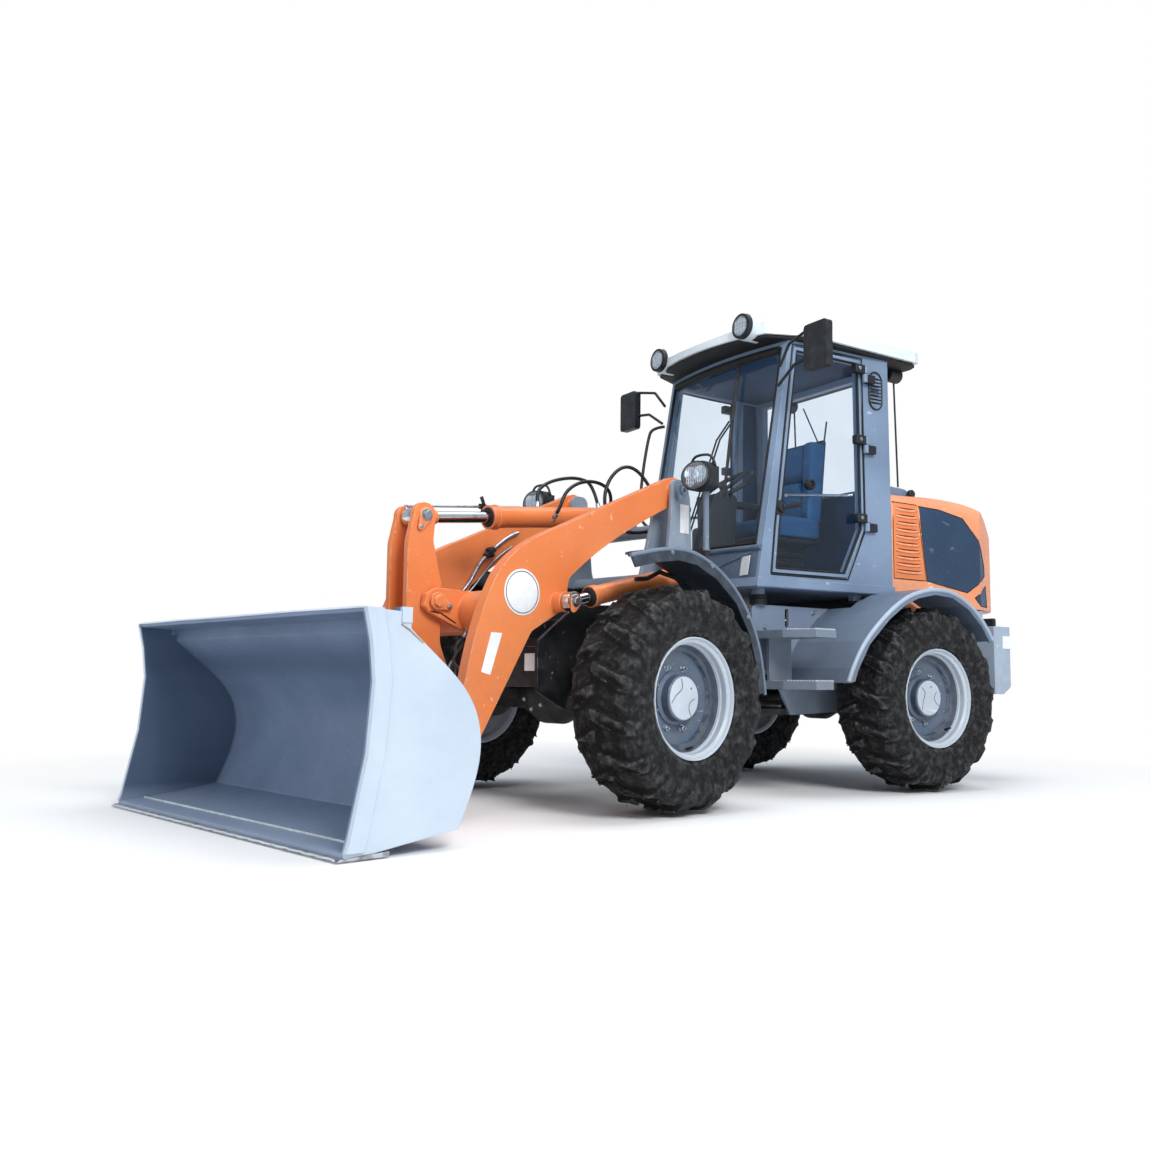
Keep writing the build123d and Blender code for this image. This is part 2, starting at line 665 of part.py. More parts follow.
with BuildPart() as hood:
    add(hood_outer)
    add(hood_inner, mode=Mode.SUBTRACT)
    with Locations((-1520, 0, 1060)):
        Box(680, 1100, 90, mode=Mode.SUBTRACT)
    for outline in (LOUVRE_SIDE, PANEL_SIDE, LOWER_SIDE):
        plate(outline, 640, 1280, Mode.SUBTRACT)
    # the radiator grille: the tail's skin is slotted between its slats
    with Locations(*[(-2280, 0, 1172 + slat * GRILLE_PITCH) for slat in range(GRILLE_SLATS)]):
        Box(240, 700, 28, mode=Mode.SUBTRACT)


def hood_panels(outline):
    """A pair of panels flush in the hood's sides."""
    with BuildPart() as pair:
        plate(outline, 640, 1280)
        add(hood_outer, mode=Mode.INTERSECT)
        add(hood_inner, mode=Mode.SUBTRACT)
    return pair


with BuildPart() as louvre_panels:
    add(hood_panels(LOUVRE_SIDE).part)
    for level in range(LOUVRES):
        z = 1310 + level * LOUVRE_PITCH
        front = -1150
        back = -1385 + level * 5
        for side in (1, -1):
            with Locations(((front + back) / 2, side * 590, z)):
                Box(front - back, 60, 22, mode=Mode.SUBTRACT)
            with Locations(Location(((front + back) / 2, side * 586, z + 2), (side * 38, 0, 0))):
                Box(front - back + 8, 5, 34)

with BuildPart() as side_panels:
    add(hood_panels(PANEL_SIDE).part)
    add(hood_panels(LOWER_SIDE).part)

# the curved blade that holds the hood's catch, beside the cab's rear corner
BLADE = [(-1118, 1792), (-1118, 1835), (-1240, 1868), (-1400, 1862), (-1448, 1822), (-1428, 1790), (-1380, 1796),
         (-1330, 1818)]

with BuildPart() as hood_catch:
    for y in (470, -452):
        rounded_plate(BLADE, [(18, [(-1448, 1822), (-1428, 1790)]), (60, [(-1240, 1868), (-1400, 1862)])], y, 18)
    for y in (461, -461):
        cross_pin((-1415, 1828), y, 16, 44)
        with Locations((-1124, y, 1808)):
            Box(12, 60, 50)
    add(hood_outer, mode=Mode.SUBTRACT)

# ---- cab ----
CAB_LEAN = (-186, 0, 1050)
CAB_SIDE = [(60, 1150), (60, 2640), (-1100, 2640), (-1100, 1150)]
CAB_WALL = 45.0
SILL_PROUD = 10.0
DOOR_SIDE = [(-160, 1240), (-190, 1500), (-345, 2590), (-870, 2590), (-870, 1535), (-720, 1240)]
DOOR_GLASS = [(-186, 1264), (-213, 1502), (-364, 2566), (-848, 2566), (-848, 1541), (-707, 1264)]
DOOR_GAP = 6.0
DOOR_AXIS = (-880, 612)
DOOR_HINGES = (1580, 2060, 2500)


def cab_block(inset):
    """The cab's outside, drawn in by the inset on every side; the bowed plan leans back as it rises."""
    with BuildPart(mode=Mode.PRIVATE) as block:
        with BuildSketch(Plane.XY.offset(1100)):
            with BuildLine():
                Polyline((-38, 552), (-900, 600), (-1100, 611), (-1100, -611), (-900, -600), (-38, -552))
                ThreePointArc((-38, -552), (25, 0), (-38, 552))
            make_face()
            if inset:
                offset(amount=-inset, kind=Kind.INTERSECTION)
        extrude(amount=1640, dir=CAB_LEAN)
        with BuildSketch(Plane.XZ):
            with BuildLine():
                Polyline(*CAB_SIDE, close=True)
            make_face()
            if inset:
                offset(amount=-inset, kind=Kind.INTERSECTION)
        extrude(amount=800, both=True, mode=Mode.INTERSECT)
    return block.part


cab_outer = cab_block(0)
cab_inner = cab_block(CAB_WALL)
glass_outer = cab_block(16)
glass_inner = cab_block(22)


def front_window(low, high, half, mode):
    """A prism ahead of the cab's middle that takes or gives the windscreen."""
    with BuildSketch(Plane.YZ.offset(-400)) as shape:
        with Locations((0, (low + high) / 2)):
            Rectangle(2 * half, high - low)
    extrude(shape.sketch, amount=600, mode=mode)


def rear_window(low, high, half, mode):
    """A prism through the cab's rear wall."""
    with BuildSketch(Plane.YZ.offset(-1200)) as shape:
        with Locations((0, (low + high) / 2)):
            Rectangle(2 * half, high - low)
    extrude(shape.sketch, amount=200, mode=mode)


with BuildPart() as cab_frame:
    add(cab_block(-SILL_PROUD))
    with Locations((-500, 0, 1180)):
        Box(1500, 1500, 50, mode=Mode.INTERSECT)
    add(cab_outer)
    add(cab_inner, mode=Mode.SUBTRACT)
    front_window(1400, 2585, 505, Mode.SUBTRACT)
    rear_window(1830, 2540, 480, Mode.SUBTRACT)
    with BuildSketch(side_plane(700)):
        with BuildLine():
            Polyline(*DOOR_SIDE, close=True)
        make_face()
        offset(amount=DOOR_GAP, kind=Kind.INTERSECTION)
    extrude(amount=1400, mode=Mode.SUBTRACT)
    with Locations((-157, 440, 1105), (-157, -440, 1105), (-950, 440, 1105), (-950, -440, 1105)):
        Cylinder(38, 90)
    # pin blocks of the door hinges, each under its door's knuckle
    for z in DOOR_HINGES:
        for side in (1, -1):
            with Locations((-920, side * 602, z - 28)):
                Box(66, 36, 48)
            with Locations((DOOR_AXIS[0], side * DOOR_AXIS[1], z - 28)):
                Cylinder(16, 48)
            with Locations((DOOR_AXIS[0], side * DOOR_AXIS[1], z + 10)):
                Cylinder(6, 80)
    # slotted air intake in each rear pillar
    for slat in range(7):
        with Locations((-990, 0, 2338 + slat * 26)):
            Box(70, 1300, 9, mode=Mode.SUBTRACT)

with BuildPart() as cab_glass:
    front_window(1402, 2583, 503, Mode.ADD)
    rear_window(1832, 2538, 478, Mode.ADD)
    add(glass_outer, mode=Mode.INTERSECT)
    add(glass_inner, mode=Mode.SUBTRACT)


def door(side):
    """One door, cut from the cab's own skin, with its window opening and hinge knuckles."""
    with BuildPart() as leaf:
        plate(DOOR_SIDE, 700 if side > 0 else -400, 300)
        add(cab_outer, mode=Mode.INTERSECT)
        add(cab_inner, mode=Mode.SUBTRACT)
        plate(DOOR_GLASS, 700 if side > 0 else -400, 300, Mode.SUBTRACT)
        for z in DOOR_HINGES:
            with Locations((-835, side * 602, z + 24)):
                Box(70, 36, 44)
            with Locations((DOOR_AXIS[0], side * DOOR_AXIS[1], z + 24)):
                Cylinder(16, 44)
                Cylinder(6 + PIN_PLAY, 90, mode=Mode.SUBTRACT)
    return leaf


def door_pane(side):
    """The pane in one door's window."""
    with BuildPart() as pane:
        plate(DOOR_GLASS, 700 if side > 0 else -400, 300)
        add(glass_outer, mode=Mode.INTERSECT)
        add(glass_inner, mode=Mode.SUBTRACT)
    return pane


# ---- cab roof ----
ROOF_LOW = 2642.0
ROOF_CROWN = [(-20, 2676), (-300, 2752), (-760, 2796), (-1150, 2780), (-1392, 2690)]
ROOF_ARCH = [(640, 2708), (0, 2800), (-640, 2708)]
POD_RADIUS = 74.0
FRONT_PODS = [(-120, 404, 2700), (-120, -404, 2700)]
REAR_PODS = [(-1290, 470, 2594), (-1290, -470, 2594)]

with BuildPart() as cab_roof:
    with BuildSketch(Plane.XZ):
        with BuildLine():
            Spline(*ROOF_CROWN)
            Polyline(ROOF_CROWN[-1], (-1392, 2655), (-1330, ROOF_LOW), (-20, ROOF_LOW), ROOF_CROWN[0])
        make_face()
    extrude(amount=700, both=True)
    with BuildSketch(Plane.XY.offset(ROOF_LOW - 10)):
        with BuildLine():
            Polyline((-420, 640), (-1312, 640), (-1368, 616), (-1392, 560), (-1392, -560), (-1368, -616),
                     (-1312, -640), (-420, -640), (-150, -520))
            ThreePointArc((-150, -520), (-45, 0), (-150, 520))
            Line((-150, 520), (-420, 640))
        make_face()
    extrude(amount=300, mode=Mode.INTERSECT)
    with BuildSketch(Plane.YZ.offset(-1500)):
        with BuildLine():
            ThreePointArc(*ROOF_ARCH)
            Polyline(ROOF_ARCH[-1], (-640, 2600), (640, 2600), ROOF_ARCH[0])
        make_face()
    extrude(amount=1600, mode=Mode.INTERSECT)
    with Locations(*FRONT_PODS):
        Cylinder(POD_RADIUS, 200, rotation=(0, 90, 0), mode=Mode.SUBTRACT)

with BuildPart() as lamp_pods:
    with Locations(*FRONT_PODS):
        Cylinder(POD_RADIUS, 120, rotation=(0, 90, 0))
    with Locations(*[(x + 55, y, z) for x, y, z in FRONT_PODS]):
        Cylinder(POD_RADIUS - 10, 12, rotation=(0, 90, 0), mode=Mode.SUBTRACT)
    with Locations(*REAR_PODS):
        Cylinder(46, 100, rotation=(0, 90, 0))
    with Locations(*[(x, y, ROOF_LOW - 15) for x, y, z in REAR_PODS]):
        Box(60, 40, 30)

with BuildPart() as roof_lamps:
    with Locations(*[(x + 54, y, z) for x, y, z in FRONT_PODS]):
        Cylinder(POD_RADIUS - 11, 10, rotation=(0, 90, 0))
    with Locations(*[(x - 54, y, z) for x, y, z in REAR_PODS]):
        Cylinder(40, 8, rotation=(0, 90, 0))

# ---- driver's place ----
with BuildPart() as seat:
    with BuildSketch(side_plane(240)):
        with Locations((-640, 1560)):
            RectangleRounded(500, 130, 45)
    extrude(amount=480)
    with BuildSketch(side_plane(220)):
        with Locations(Location((-865, 1860), 6)):
            RectangleRounded(110, 660, 50)
    extrude(amount=440)
    with Locations((-640, 0, 1350)):
        Box(360, 340, 290)

with BuildPart() as console:
    plate([(-180, 1196), (-150, 1760), (-230, 1780), (-290, 1740), (-260, 1196)], 110, 220)
    with Locations(Location((-330, 0, 1840), (0, 35, 0))):
        Torus(170, 14)
        Box(330, 36, 16)
    with Locations(Location((-290, 0, 1790), (0, 35, 0))):
        Cylinder(22, 110)

# ---- rear fenders and steps ----
REAR_FENDER = [(-320, 630), (-350, 700), (-450, 850), (-620, 1000), (-760, 1090), (-880, 1140), (-1040, 1170),
               (-1200, 1160), (-1350, 1097), (-1480, 995), (-1560, 890)]

with BuildPart() as rear_fenders:
    with BuildSketch(side_plane(970)):
        with BuildLine():
            Polyline(*REAR_FENDER, *[(x + (-AXLE_X - x) * 0.03, z - FENDER_THICK) for x, z in
                                     reversed(REAR_FENDER)], close=True)
        make_face()
    extrude(amount=970 - REAR_PLATE_Y)
    skirt(REAR_FENDER, -AXLE_X, 0.06, 970)
    with Locations((-1300, 0, 1165)):
        Box(1200, 1250, 210, mode=Mode.SUBTRACT)
    both_sides()

with BuildPart() as steps:
    flat([(-40, 450), (-60, 740), (-150, 900), (-300, 900), (-300, 450)], 862, 42)
    flat([(-40, 560), (-60, 740), (-150, 900), (-278, 900), (-278, 560)], 580, 46)
    flat([(-110, 560), (-110, 580), (-278, 580), (-278, 560)], 620, 250)
    both_sides()

# mirror arms as tubes bent through these points, each from the windscreen pillar to the mirror's clamp
MIRROR_ARMS = [
    [(-236, 548, 2450), (-222, 640, 2560), (-205, 820, 2600), (-205, 878, 2520)],
    [(-216, 552, 2330), (-210, 690, 2420), (-205, 850, 2440), (-205, 878, 2510)],
]
MIRROR_TUBE = 9.0

with BuildPart() as mirrors:
    with Locations((-196, 890, 2478)):
        head = Box(46, 176, 262)
    fillet(head.edges().filter_by(Axis.X), 22)
    with Locations((-222, 878, 2512)):
        Box(24, 40, 50)
    for route in MIRROR_ARMS:
        with BuildLine() as bend:
            line = FilletPolyline(*route, radius=35)
        with BuildSketch(Plane(origin=line @ 0, z_dir=line % 0)) as tube:
            Circle(MIRROR_TUBE)
        sweep(tube.sketch, path=bend.wires()[0])
    both_sides()

# ---- placing, naming and writing ----
REAR = Location((PIVOT_X, PIVOT_Y, 0))
FRONT = REAR * Location((0, 0, 0), (0, 0, PARKED_STEER))


def wheel_place(half, x, side):
    """Where a wheel stands; a right wheel is turned about so that its dish faces out."""
    return half * Location((x, side * WHEEL_Y, HUB_Z), (0, 0, 0 if side > 0 else 180))


PIECES = [
    # piece, name, place
    (rear_frame.part, "rear_frame", REAR),
    (rear_hinge.part, "rear_hinge_plates", REAR),
    (rear_axle.part, "rear_axle", REAR),
    (rear_shaft.part, "rear_drive_shaft", REAR),
    (counterweight.part, "counterweight", REAR),
    (tow_hitch.part, "tow_hitch", REAR),
    (engine.part, "engine", REAR),
    (hood.part, "hood", REAR),
    (hood_catch.part, "hood_catch", REAR),
    (louvre_panels.part, "louvre_panels", REAR),
    (side_panels.part, "hood_side_panels", REAR),
    (cab_frame.part, "cab_frame", REAR),
    (cab_glass.part, "cab_glass", REAR),
    (cab_roof.part, "cab_roof", REAR),
    (lamp_pods.part, "roof_lamp_pods", REAR),
    (roof_lamps.part, "roof_lamps", REAR),
    (seat.part, "seat", REAR),
    (console.part, "steering_console", REAR),
    (rear_fenders.part, "rear_fenders", REAR),
    (steps.part, "cab_steps", REAR),
    (mirrors.part, "mirrors", REAR),
    (door(1).part, "left_door", REAR),
    (door_pane(1).part, "left_door_pane", REAR),
    (door(-1).part, "right_door", REAR),
    (door_pane(-1).part, "right_door_pane", REAR),
    (steer_left[0].part, "left_steer_barrel", REAR),
    (steer_left[1].part, "left_steer_rod", REAR),
    (steer_right[0].part, "right_steer_barrel", REAR),
    (steer_right[1].part, "right_steer_rod", REAR),
    (front_frame.part, "front_frame", FRONT),
    (front_hinge.part, "front_hinge_lugs", FRONT),
    (front_axle.part, "front_axle", FRONT),
    (front_shaft.part, "front_drive_shaft", FRONT),
    (valve_block.part, "valve_block", FRONT),
    (front_fenders.part, "front_fenders", FRONT),
    (head_lamps.part, "head_lamps", FRONT),
    (lift_arm.part, "lift_arm", FRONT),
    (tilt_lever.part, "tilt_lever", FRONT),
    (tilt_link.part, "tilt_link", FRONT),
    (coupler.part, "bucket_coupler", FRONT),
    (bucket.part, "bucket", FRONT),
    (cutting_edge.part, "cutting_edge", FRONT),
    (lift_barrels.part, "lift_barrels", FRONT),
    (lift_rods.part, "lift_rods", FRONT),
    (tilt_barrel.part, "tilt_barrel", FRONT),
    (tilt_rod.part, "tilt_rod", FRONT),
]

for half, x, end in ((FRONT, AXLE_X, "front"), (REAR, -AXLE_X, "rear")):
    for side, hand in ((1, "left"), (-1, "right")):
        place = wheel_place(half, x, side)
        PIECES.append((tyre.part, f"{end}_{hand}_tyre", place))
        PIECES.append((rim.part, f"{end}_{hand}_rim", place))

os.makedirs("parts", exist_ok=True)
for piece, name, place in PIECES:
    solid = piece.moved(place)
    solid.label = name
    export_step(solid, f"parts/{name}.step")
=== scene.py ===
import math

import bmesh
import bpy
from mathutils import Matrix, Vector


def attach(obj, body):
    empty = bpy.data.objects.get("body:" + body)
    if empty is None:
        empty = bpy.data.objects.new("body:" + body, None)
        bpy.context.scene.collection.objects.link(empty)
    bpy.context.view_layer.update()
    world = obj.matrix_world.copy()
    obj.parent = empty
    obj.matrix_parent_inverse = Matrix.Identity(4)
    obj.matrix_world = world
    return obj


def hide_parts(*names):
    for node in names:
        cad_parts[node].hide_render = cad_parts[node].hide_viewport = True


# Looks of a compact articulated wheel loader, in metres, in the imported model's frame.

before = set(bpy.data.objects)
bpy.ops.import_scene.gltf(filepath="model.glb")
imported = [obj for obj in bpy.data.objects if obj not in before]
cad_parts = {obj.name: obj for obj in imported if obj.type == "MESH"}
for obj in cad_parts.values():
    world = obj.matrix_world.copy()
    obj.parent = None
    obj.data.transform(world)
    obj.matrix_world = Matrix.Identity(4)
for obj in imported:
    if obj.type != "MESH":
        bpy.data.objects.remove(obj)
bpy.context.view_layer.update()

# ---- the machine's own measures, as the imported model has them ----
PIVOT = Vector((-0.336, -0.280, 0.0))
PARKED_STEER = math.radians(11)
AXLE_X = 1.075
WHEEL_Y = 0.788
HUB_Z = 0.5375
REAR = Matrix.Translation(PIVOT)
FRONT = REAR @ Matrix.Rotation(PARKED_STEER, 4, "Z")
REAR_BODIES = ("rear_half", "left_door_body", "right_door_body")
MIRROR = Matrix.Scale(-1, 4, (0, 1, 0))
# pins of the working gear, as (x, z) with the machine straight
ARM_PIN = (0.615, 1.630)
LIFT_EYE = (1.456, 0.984)
LEVER_TOP = (2.000, 1.375)
LEVER_PIN = (1.955, 0.973)
BUCKET_PIN = (2.050, 0.330)
# rams, from the base pin to the rod's eye, as (x, y, z)
TILT_RAM = ((0.630, 0.0, 1.532), (2.000, 0.0, 1.375))
LIFT_RAM = ((0.660, 0.515, 1.175), (1.456, 0.515, 0.984))
# the cab's front and sides lean back by this much a metre, from this height up
CAB_LEAN = 0.17714
LEAN_FROM = 1.1
WINDSCREEN_BOW = 2.45
HINGE_HEIGHTS = (1.580, 2.060, 2.500)


# ---- camera, floor and light ----
def place_camera():
    """The camera stands low to the machine's left front and looks slightly up."""
    heading = math.radians(237.42)
    pitch = math.radians(5.73)
    roll = math.radians(0.71)
    ahead = Vector((math.cos(pitch) * math.cos(heading), math.cos(pitch) * math.sin(heading), math.sin(pitch)))
    level = Vector((math.sin(heading), -math.cos(heading), 0.0))
    upright = level.cross(ahead)
    right = math.cos(roll) * level + math.sin(roll) * upright
    up = math.cos(roll) * upright - math.sin(roll) * level
    data = bpy.data.cameras.new("camera")
    data.sensor_width = 36.0
    data.lens = 32.84
    camera = bpy.data.objects.new("camera", data)
    bpy.context.scene.collection.objects.link(camera)
    turn = Matrix((right, up, -ahead)).transposed().to_4x4()
    camera.matrix_world = Matrix.Translation(PIVOT + Vector((3.9704, 4.9393, 0.6148))) @ turn
    bpy.context.scene.camera = camera


def linear(code):
    """An sRGB hex colour as the linear colour that shaders take."""
    parts = [int(code[i:i + 2], 16) / 255 for i in (1, 3, 5)]
    return tuple(p / 12.92 if p <= 0.04045 else ((p + 0.055) / 1.055) ** 2.4 for p in parts) + (1.0,)


def put(material, kind, inputs, **options):
    """Adds one shader node; an input is a plain value, or (node, output) where it is linked."""
    tree = material.node_tree
    made = tree.nodes.new("ShaderNode" + kind)
    for option, value in options.items():
        setattr(made, option, value)
    for socket, value in inputs.items():
        if isinstance(value, tuple) and isinstance(value[0], bpy.types.Node):
            tree.links.new(value[0].outputs[value[1]], made.inputs[socket])
        else:
            made.inputs[socket].default_value = value
    return made


def fresh(name):
    """A new material with an empty node tree."""
    material = bpy.data.materials.new(name)
    material.use_nodes = True
    material.node_tree.nodes.clear()
    return material


def studio():
    """A pale floor that fades to white far off, a white room and three soft lamps."""
    ground = fresh("pale studio floor")
    place = put(ground, "TexCoord", {})
    far = put(ground, "VectorMath", {0: (place, "Object")}, operation="LENGTH")
    fade = put(ground, "MapRange", {"Value": (far, "Value"), "From Min": 2.4, "From Max": 5.0})
    seen = put(ground, "LightPath", {})
    bare = put(ground, "Math", {0: (seen, "Is Camera Ray"), 1: (seen, "Is Glossy Ray")}, operation="MAXIMUM")
    share = put(ground, "Math", {0: (bare, "Value"), 1: (fade, "Result")}, operation="MULTIPLY")
    paint = put(ground, "BsdfDiffuse", {"Color": linear("#f4f4f4")})
    glow = put(ground, "Emission", {"Color": (1, 1, 1, 1), "Strength": 1.0})
    mixed = put(ground, "MixShader", {0: (share, "Value"), 1: (paint, "BSDF"), 2: (glow, "Emission")})
    put(ground, "OutputMaterial", {"Surface": (mixed, "Shader")})
    bpy.ops.mesh.primitive_plane_add(size=60, location=(0, 0, 0))
    floor = bpy.context.object
    floor.name = "floor"
    floor.data.materials.append(ground)

    world = bpy.data.worlds.new("white room")
    bpy.context.scene.world = world
    world.use_nodes = True
    world.node_tree.nodes.clear()
    seen = put(world, "LightPath", {})
    bare = put(world, "Math", {0: (seen, "Is Camera Ray"), 1: (seen, "Is Transmission Ray")}, operation="MAXIMUM")
    room = put(world, "Background", {"Color": linear("#dfe8f2"), "Strength": 0.62})
    white = put(world, "Background", {"Color": (1, 1, 1, 1), "Strength": 1.0})
    mixed = put(world, "MixShader", {0: (bare, "Value"), 1: (room, "Background"), 2: (white, "Background")})
    put(world, "OutputWorld", {"Surface": (mixed, "Shader")})

    # name, where it hangs, its size, its power in watts
    for name, spot, size, power in (
        ("key lamp", (1.5, 8.0, 6.5), 3.5, 620),
        ("top lamp", (-1.0, 0.5, 8.0), 5.0, 260),
        ("front fill", (8.0, 1.0, 3.0), 4.0, 120),
    ):
        data = bpy.data.lights.new(name, "AREA")
        data.size = size
        data.energy = power
        lamp = bpy.data.objects.new(name, data)
        bpy.context.scene.collection.objects.link(lamp)
        lamp.location = spot
        aim = Vector((0, 0, 1.0)) - Vector(spot)
        lamp.rotation_euler = aim.to_track_quat("-Z", "Y").to_euler()


bpy.context.scene.view_settings.view_transform = "Standard"
place_camera()
studio()


# ---- modelling ----
def start():
    """Nothing is selected when a new piece begins."""
    if bpy.context.object and bpy.context.object.mode != "OBJECT":
        bpy.ops.object.mode_set(mode="OBJECT")
    bpy.ops.object.select_all(action="DESELECT")


def keep(piece, name, finish, body, place=None):
    """The finished piece: origin at nought, its place in its mesh, its finish, and the body it rides on. Without a
    place it is drawn on the straight machine, and goes where the half that carries its body stands."""
    piece.name = name
    piece.data.name = name
    if place is None:
        place = REAR if body in REAR_BODIES else FRONT
    piece.data.transform(place @ piece.matrix_world)
    piece.matrix_world = Matrix()
    piece.data.materials.clear()
    piece.data.materials.append(finish)
    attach(piece, body)
    return piece


def select(kind, test):
    """In edit mode, selects just the points, edges or faces whose middle and normal pass the test."""
    bpy.ops.mesh.select_mode(type=kind)
    bpy.ops.mesh.select_all(action="DESELECT")
    mesh = bmesh.from_edit_mesh(bpy.context.object.data)
    for item in {"VERT": mesh.verts, "EDGE": mesh.edges, "FACE": mesh.faces}[kind]:
        if kind == "FACE":
            item.select_set(test(item.calc_center_median(), item.normal))
        elif kind == "EDGE":
            a, b = item.verts
            item.select_set(test((a.co + b.co) / 2, (b.co - a.co).normalized()))
        else:
            item.select_set(test(item.co, item.normal))
    mesh.select_flush_mode()
    bmesh.update_edit_mesh(bpy.context.object.data)


def modified(piece, kind, **settings):
    """One modifier, applied."""
    bpy.context.view_layer.objects.active = piece
    made = piece.modifiers.new(kind.lower(), kind)
    for setting, value in settings.items():
        setattr(made, setting, value)
    bpy.ops.object.modifier_apply(modifier=made.name)
    return piece


def smooth(piece, degrees=30):
    """Smooth shading, with creases where faces meet at more than this angle."""
    start()
    piece.select_set(True)
    bpy.context.view_layer.objects.active = piece
    bpy.ops.object.shade_smooth_by_angle(angle=math.radians(degrees))
    return piece


def turn_outward(merge=False):
    """Leaves edit mode with every face pointing outward, after its doubles are merged where asked."""
    bpy.ops.mesh.select_all(action="SELECT")
    if merge:
        bpy.ops.mesh.remove_doubles(threshold=1e-6)
    bpy.ops.mesh.normals_make_consistent(inside=False)
    bpy.ops.object.mode_set(mode="OBJECT")


def slab(places, move):
    """A face with its corners at the places, drawn out by the move to a closed slab."""
    start()
    bpy.ops.mesh.primitive_circle_add(vertices=len(places), fill_type="NGON")
    piece = bpy.context.object
    for point, place in zip(piece.data.vertices, places):
        point.co = place
    bpy.ops.object.mode_set(mode="EDIT")
    bpy.ops.mesh.select_all(action="SELECT")
    bpy.ops.mesh.extrude_region_move(TRANSFORM_OT_translate={"value": move})
    turn_outward()
    return piece


def plate(outline, left, thick, bevel=0.002, segments=2):
    """A plate along the machine, cut to the (x, z) outline, its left face at y = left."""
    piece = slab([(x, left, z) for x, z in outline], (0, -thick, 0))
    if bevel:
        modified(piece, "BEVEL", width=bevel, segments=segments, limit_method="ANGLE")
    return smooth(piece)


def block(size, at, bevel=0.003, segments=2, turn=(0, 0, 0)):
    """A block with eased edges, turned about its own middle."""
    start()
    bpy.ops.mesh.primitive_cube_add(size=1, rotation=[math.radians(t) for t in turn], scale=size)
    piece = bpy.context.object
    bpy.ops.object.transform_apply()
    piece.data.transform(Matrix.Translation(at))
    if bevel:
        modified(piece, "BEVEL", width=bevel, segments=segments, limit_method="NONE")
    return smooth(piece)


def turned_part(section, steps=48, axis="Y", at=(0, 0, 0), closed=False):
    """A turned part: the (radius, distance) section spun about its axis; an open one starts and ends on it."""
    start()
    bpy.ops.mesh.primitive_circle_add(vertices=len(section))
    piece = bpy.context.object
    for point, (radius, distance) in zip(piece.data.vertices, section):
        point.co = (radius, distance, 0)
    bpy.ops.object.mode_set(mode="EDIT")
    if not closed:
        first, last = (Vector((*section[i], 0)) for i in (0, -1))
        middle = (first + last) / 2
        select("EDGE", lambda at, way: (at - middle).length < 1e-6 and abs(at.x) < 1e-6)
        bpy.ops.mesh.delete(type="EDGE")
    bpy.ops.mesh.select_mode(type="VERT")
    bpy.ops.mesh.select_all(action="SELECT")
    bpy.ops.mesh.spin(steps=steps, angle=2 * math.pi, center=(0, 0, 0), axis=(0, 1, 0))
    turn_outward(merge=True)
    if axis == "X":
        piece.data.transform(Matrix.Rotation(math.radians(-90), 4, "Z"))
    elif axis == "Z":
        piece.data.transform(Matrix.Rotation(math.radians(90), 4, "X"))
    piece.data.transform(Matrix.Translation(at))
    return smooth(piece)


def drawn_line(name, points, radius, round_off=True, sides=6, steps=8):
    """A round line: a NURBS spline with the points as its control points, or straight runs through them."""
    line = bpy.data.curves.new(name, "CURVE")
    line.dimensions = "3D"
    line.bevel_depth = radius
    line.bevel_resolution = sides
    line.resolution_u = steps
    line.use_fill_caps = True
    run = line.splines.new("NURBS" if round_off else "POLY")
    run.points.add(len(points) - 1)
    for point, place in zip(run.points, points):
        point.co = (*place, 1)
    if round_off:
        run.order_u = 3
        run.use_endpoint_u = True
    piece = bpy.data.objects.new(name, line)
    bpy.context.scene.collection.objects.link(piece)
    return piece


def tube(points, radius, name="tube", round_off=True, sides=6):
    """A bent tube or rod along the points, with closed ends."""
    start()
    piece = drawn_line(name, points, radius, round_off, sides)
    piece.select_set(True)
    bpy.context.view_layer.objects.active = piece
    bpy.ops.object.convert(target="MESH")
    bpy.ops.object.mode_set(mode="EDIT")
    turn_outward(merge=True)
    return smooth(bpy.context.object, 40)


def strip(path, radius, name="strip"):
    """A straight-run strip or rod through the points."""
    return tube(path, radius, name, round_off=False, sides=3)


def joined(pieces):
    """Several pieces as one."""
    start()
    for piece in pieces:
        piece.select_set(True)
    bpy.context.view_layer.objects.active = pieces[0]
    bpy.ops.object.join()
    return bpy.context.object


def copied(piece, move):
    """A copy with its own mesh, moved by the matrix."""
    twin = piece.copy()
    twin.data = piece.data.copy()
    bpy.context.scene.collection.objects.link(twin)
    twin.data.transform(move)
    if move.to_3x3().determinant() < 0:
        twin.data.flip_normals()
    return twin


def bolt(at, size=0.012, height=0.008, way="Y"):
    """A hexagon bolt head on its washer, standing out along +Y, +X or +Z from the place."""
    start()
    bpy.ops.mesh.primitive_cylinder_add(vertices=6, radius=size, depth=height, location=(0, height / 2 + 0.002, 0),
                                        rotation=(math.radians(90), 0, 0))
    head = bpy.context.object
    bpy.ops.object.transform_apply()
    modified(head, "BEVEL", width=size * 0.1, segments=1, limit_method="ANGLE")
    washer = turned_part([(0, 0), (size * 1.35, 0), (size * 1.35, 0.002), (0, 0.002)], 16)
    piece = joined([head, washer])
    turn = {"Y": Matrix(), "X": Matrix.Rotation(math.radians(-90), 4, "Z"),
            "Z": Matrix.Rotation(math.radians(90), 4, "X"), "-Y": Matrix.Rotation(math.radians(180), 4, "Z")}[way]
    piece.data.transform(Matrix.Translation(at) @ turn)
    return smooth(piece)


def swapped(piece):
    """The piece mirrored to the machine's other side."""
    piece.data.transform(MIRROR)
    piece.data.flip_normals()
    return piece


